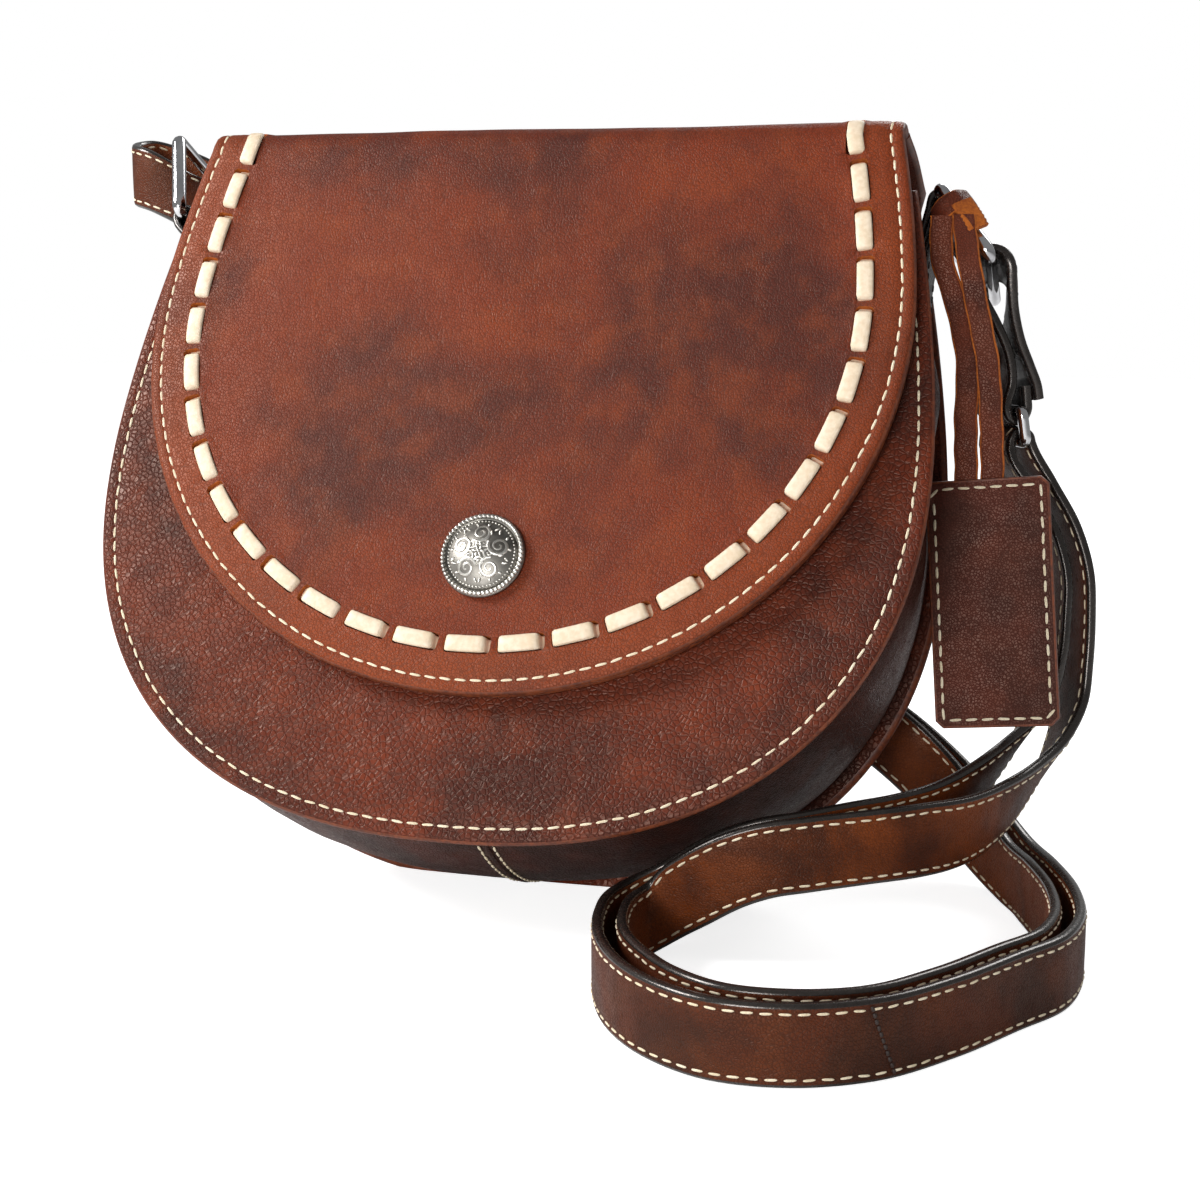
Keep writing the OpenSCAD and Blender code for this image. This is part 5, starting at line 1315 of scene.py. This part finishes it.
# Screw rivets of the strap ends
RIVET = [(0, 1.0), (1.6, 1.0), (1.6, 0.7), (3.2, 0.7), (3.55, 0.45), (3.75, 0.0), (1.5, 0.0)]


def add_rivet(name, length, below, place):
    bm = bmesh.new()
    high = [(r, length - below + h) for r, h in RIVET]
    low = [(r, -below - h) for r, h in reversed(RIVET)]
    turned(bm, high + low, 28)
    finish_piece(name + "_turned", bm, [SILVER], "root", (name,), place)


def pointing(axis):
    return Vector(axis).to_track_quat("Z", "Y").to_matrix().to_4x4()


rivet_length = 2 * STRAP_T + 4 * SEAT
turn_end = (TURN_ROWS[-1][:3] + TURN_ROWS[-2][:3]) / 2 + unit(TURN_ROWS[-1][3:6]) * STRAP_W / 2
add_rivet("strap_back_rivet", rivet_length, STRAP_T / 2,
          Matrix.Translation(turn_end) @ Matrix.Rotation(-BACK_LEAN, 4, "X") @ Matrix.Rotation(-math.pi / 2, 4, "X"))
rivet_across = short_across(0.42)
rivet_out = unit(np.cross(SHORT_SPAN, rivet_across))
rivet_mid = LINK_HIGH + 0.42 * SHORT_SPAN + rivet_across * STRAP_W / 2 + np.array([0.1 * STRAP_W, 0, 0])
add_rivet("strap_short_rivet", rivet_length, rivet_length / 2, Matrix.Translation(rivet_mid) @ pointing(rivet_out))


# ---------------------------------------------------------------- hangtag
RING_DIR = Vector((math.sin(RIGHT_ANGLE), math.cos(RIGHT_ANGLE) * math.sin(LEAN),
                   math.cos(RIGHT_ANGLE) * math.cos(LEAN)))
WRAP_R = 4.4
WRAP_MID = to_world(RING_RIGHT_X, RING_Y - RING_W / 2, RING_RIGHT_H) + RING_DIR * 0.3 * RING_LEN \
    - Vector((0, 0, WRAP_R - RING_SIDE / 2 - 0.95))
TAG_TOP = WRAP_MID + Vector((14.7, -15.5, -79.7))
THONG_DROP = WRAP_MID.z - TAG_TOP.z
wrap_turn = pointing(RING_DIR)

THONG_BAND = [(0.0, 0.0), (0.1, 0.6), (0.5, 0.92), (1.2, 1.0), (THONG_W / 2, 1.06), (THONG_W - 1.2, 1.0),
              (THONG_W - 0.5, 0.92), (THONG_W - 0.1, 0.6), (THONG_W, 0.0), (THONG_W - 0.1, -0.7),
              (THONG_W - 0.3, -0.95), (THONG_W / 2, -1.0), (0.3, -0.95), (0.1, -0.7)]
thong_bm = bmesh.new()
wrap_rings = []
for k in range(57):
    turn = 2 * math.pi * k / 56
    r = WRAP_R + 1.0 + 0.18 * math.sin(3 * turn) + 0.1 * math.sin(7 * turn)
    drift = 0.35 * math.sin(turn)
    wrap_rings.append([WRAP_MID + wrap_turn @ Vector((math.cos(turn) * (r + t * 0.92), math.sin(turn) * (r + t * 0.92),
                                                      w - THONG_W / 2 + drift)) for w, t in THONG_BAND])
sweep(thong_bm, wrap_rings[:-1], lambda i, j: 0 if j in (2, 3, 4, 5) else 1, loop=True)
LEFT_LEG = [(-0.19, 0.17, 0.02), (-0.18, 0.20, 0.16), (-0.03, 0.22, 0.36), (0.08, 0.32, 0.55), (0.09, 0.40, 0.76),
            (0.11, 0.455, 0.93), (0.125, 0.46, 1.06)]
RIGHT_LEG = [(0.00, 0.22, 0.02), (0.05, 0.34, 0.14), (0.16, 0.40, 0.36), (0.26, 0.42, 0.55), (0.31, 0.44, 0.76),
             (0.335, 0.455, 0.93), (0.35, 0.46, 1.06)]
for leg in (LEFT_LEG, RIGHT_LEG):
    rows = smooth([np.array([WRAP_MID.x + a * TAG_W, WRAP_MID.y - b * TAG_W, WRAP_MID.z - c * THONG_DROP, 1, 0, 0])
                   for a, b, c in leg], 10)
    rings = []
    for i, row in enumerate(rows):
        out = facing(rows, i)
        if out[1] > 0:
            out = -out
        rings.append([Vector(row[:3] + np.array([w + 0.12 * math.sin(i * 0.9 + w), 0, 0]) + out * t)
                      for w, t in THONG_BAND])
    sweep(thong_bm, rings, lambda i, j: 0 if j in (2, 3, 4, 5) else 1)
# The thong's short tail, rough side out
tail_out = Vector((0.6, -0.8, 0))
tail_out = (tail_out - RING_DIR * tail_out.dot(RING_DIR)).normalized()
tail_across = tail_out.cross(RING_DIR)
rows = smooth([np.array([*(WRAP_MID + RING_DIR * run + tail_out * r - tail_across * THONG_W / 2 - Vector((0, 0, low))),
                         *tail_across]) for run, r, low in ((1.5, 5.6, 0), (4.5, 5.5, 0), (7.5, 5.7, 0.4),
                                                            (10.5, 6.2, 1.6))], 5)
sweep(thong_bm, [[Vector(rows[i][:3] + unit(rows[i][3:6]) * (w + 0.15 * math.sin(3.0 * i)) + facing(rows, i) * t)
                  for w, t in THONG_BAND] for i in range(len(rows))], lambda i, j: 1)
finish_piece("thong_leather", thong_bm, [THONG_HIDE, RAW_HIDE], "tag", ("thong",))

TAG_PLACE = (Matrix.Translation(TAG_TOP) @ Matrix.Rotation(math.radians(-5.1), 4, "Y")
             @ Matrix.Rotation(math.radians(-8), 4, "X"))


def tag_loop(inset):
    c = max(0.7, TAG_CUT - 0.41 * inset)
    w, low, high = TAG_WIDE / 2 - inset, -TAG_H + inset, TAG_TALL - TAG_H - inset
    corners = [(w - c, high), (-w + c, high), (-w, high - c), (-w, low + c), (-w + c, low), (w - c, low), (w, low + c),
               (w, high - c)]
    counts = [10, 2, 24, 2] * 2
    points = []
    for a, b, count in zip(corners, corners[1:] + corners[:1], counts):
        points += [(a[0] + (b[0] - a[0]) * k / count - 1.2, a[1] + (b[1] - a[1]) * k / count) for k in range(count)]
    return points


def tag_mouth(x, s):
    """How far a ply stands out where the thong's ends go in between the two plies."""
    return 1.0 * math.exp(-((x - 1.0) / 11.0) ** 2) * math.exp(-max(0.0, TAG_TALL - TAG_H - s) / 6.0)


TAG_RIM = [(6.0, 0.0), (3.0, 0.0), (2.5, -0.14), (2.0, 0.0), (0.7, -0.02), (0.2, -0.2), (0.0, -0.7), (0.1, -1.35),
           (0.5, -1.5), (6.0, -1.5)]
for name, y, sign in (("hangtag", -TAG_PLY, -1), ("hangtag_back", TAG_PLY, 1)):
    tag_bm = rolled_sheet(tag_loop, TAG_RIM, cell=4.0, edge_rows=(4, 5, 6, 7))
    for vert in tag_bm.verts:
        x, s, d = vert.co
        inner = min(1.0, max(0.0, (TAG_WIDE / 2 - abs(x)) / 6)) if d > -0.8 else 0.0
        vert.co.z = d + 0.25 * inner * wave(x, s, 14.0, 50 + sign) + tag_mouth(x, s)
    finish_piece(name + "_ply", tag_bm, [TAG_HIDE, EDGE_BROWN], "tag", (name,),
                 TAG_PLACE @ panel_place(y, sign))
seam_bm = bmesh.new()
for sign in (-1, 1):
    loop = tag_loop(2.5)
    points = [TAG_PLACE @ Vector((x, sign * (TAG_PLY - 0.1 + tag_mouth(x, s)), s)) for x, s in loop + loop[:1]]
    stitch_line(seam_bm, points, [TAG_PLACE.to_3x3() @ Vector((0, sign, 0))] * len(points), 4.7, 3.5, 0.45, 0.1)
finish_piece("hangtag_stitches", seam_bm, [CREAM_THREAD], "tag")


# ---------------------------------------------------------------- carried-over pieces
bpy.data.objects["concho_screw"].data.materials.clear()
bpy.data.objects["concho_screw"].data.materials.append(STEEL)


# ---------------------------------------------------------------- floor, world, lamps and camera
def white_floor():
    made, tree, skin = blank_material("white_floor", (1, 1, 1, 1))
    out = tree.nodes["Material Output"]
    skin.inputs["Base Color"].default_value = (0.9, 0.9, 0.9, 1)
    skin.inputs["Roughness"].default_value = 0.9
    skin.inputs["Specular IOR Level"].default_value = 0.0
    glow = node(tree, "ShaderNodeEmission")
    glow.inputs["Color"].default_value = (1, 1, 1, 1)
    path = node(tree, "ShaderNodeLightPath")
    tree.links.new(math_node(tree, "MULTIPLY", path.outputs["Is Camera Ray"], 0.80), glow.inputs["Strength"])
    both = node(tree, "ShaderNodeAddShader")
    tree.links.new(skin.outputs[0], both.inputs[0])
    tree.links.new(glow.outputs[0], both.inputs[1])
    tree.links.new(both.outputs[0], out.inputs["Surface"])
    return made


floor_bm = bmesh.new()
bmesh.ops.create_grid(floor_bm, x_segments=8, y_segments=8, size=3.0)
floor_mesh = bpy.data.meshes.new("floor")
floor_bm.to_mesh(floor_mesh)
floor_bm.free()
floor_mesh.materials.append(white_floor())
floor = bpy.data.objects.new("floor", floor_mesh)
bpy.context.scene.collection.objects.link(floor)

world = bpy.data.worlds.new("studio")
world.use_nodes = True
bpy.context.scene.world = world
sky = world.node_tree
plain = sky.nodes["Background"]
plain.inputs["Color"].default_value = (1, 1, 1, 1)
rays = node(sky, "ShaderNodeLightPath")
seen = math_node(sky, "ADD", rays.outputs["Is Camera Ray"], rays.outputs["Is Transmission Ray"], True)
level = node(sky, "ShaderNodeMix", data_type="FLOAT")
sky.links.new(seen, level.inputs[0])
level.inputs[2].default_value = 0.24
level.inputs[3].default_value = 1.0
sky.links.new(level.outputs[0], plain.inputs["Strength"])


def area_lamp(name, where, aim, size, power):
    lamp = bpy.data.lights.new(name, "AREA")
    lamp.shape = "RECTANGLE"
    lamp.size, lamp.size_y = size
    lamp.energy = power
    made = bpy.data.objects.new(name, lamp)
    made.location = where
    made.rotation_euler = (Vector(aim) - Vector(where)).to_track_quat("-Z", "Y").to_euler()
    bpy.context.scene.collection.objects.link(made)


area_lamp("key", (-1.0, -0.45, 0.9), (0.0, 0.0, 0.12), (0.5, 0.5), 18.0)
area_lamp("front", (-0.1, -1.35, 0.25), (0.0, 0.0, 0.1), (0.5, 0.4), 10.0)
area_lamp("rim", (0.3, 0.9, 0.9), (0.0, 0.0, 0.15), (0.8, 0.4), 6.0)

camera_data = bpy.data.cameras.new("camera")
camera_data.lens = 56.95
camera_data.sensor_width = 36.0
camera_data.clip_start = 0.02
camera = bpy.data.objects.new("camera", camera_data)
camera.location = (0.1815, -0.5508, 0.1893)
camera.rotation_euler = (math.radians(90 - 9.81), 0, math.radians(15.68))
bpy.context.scene.collection.objects.link(camera)
bpy.context.scene.camera = camera
bpy.context.scene.view_settings.view_transform = "Standard"
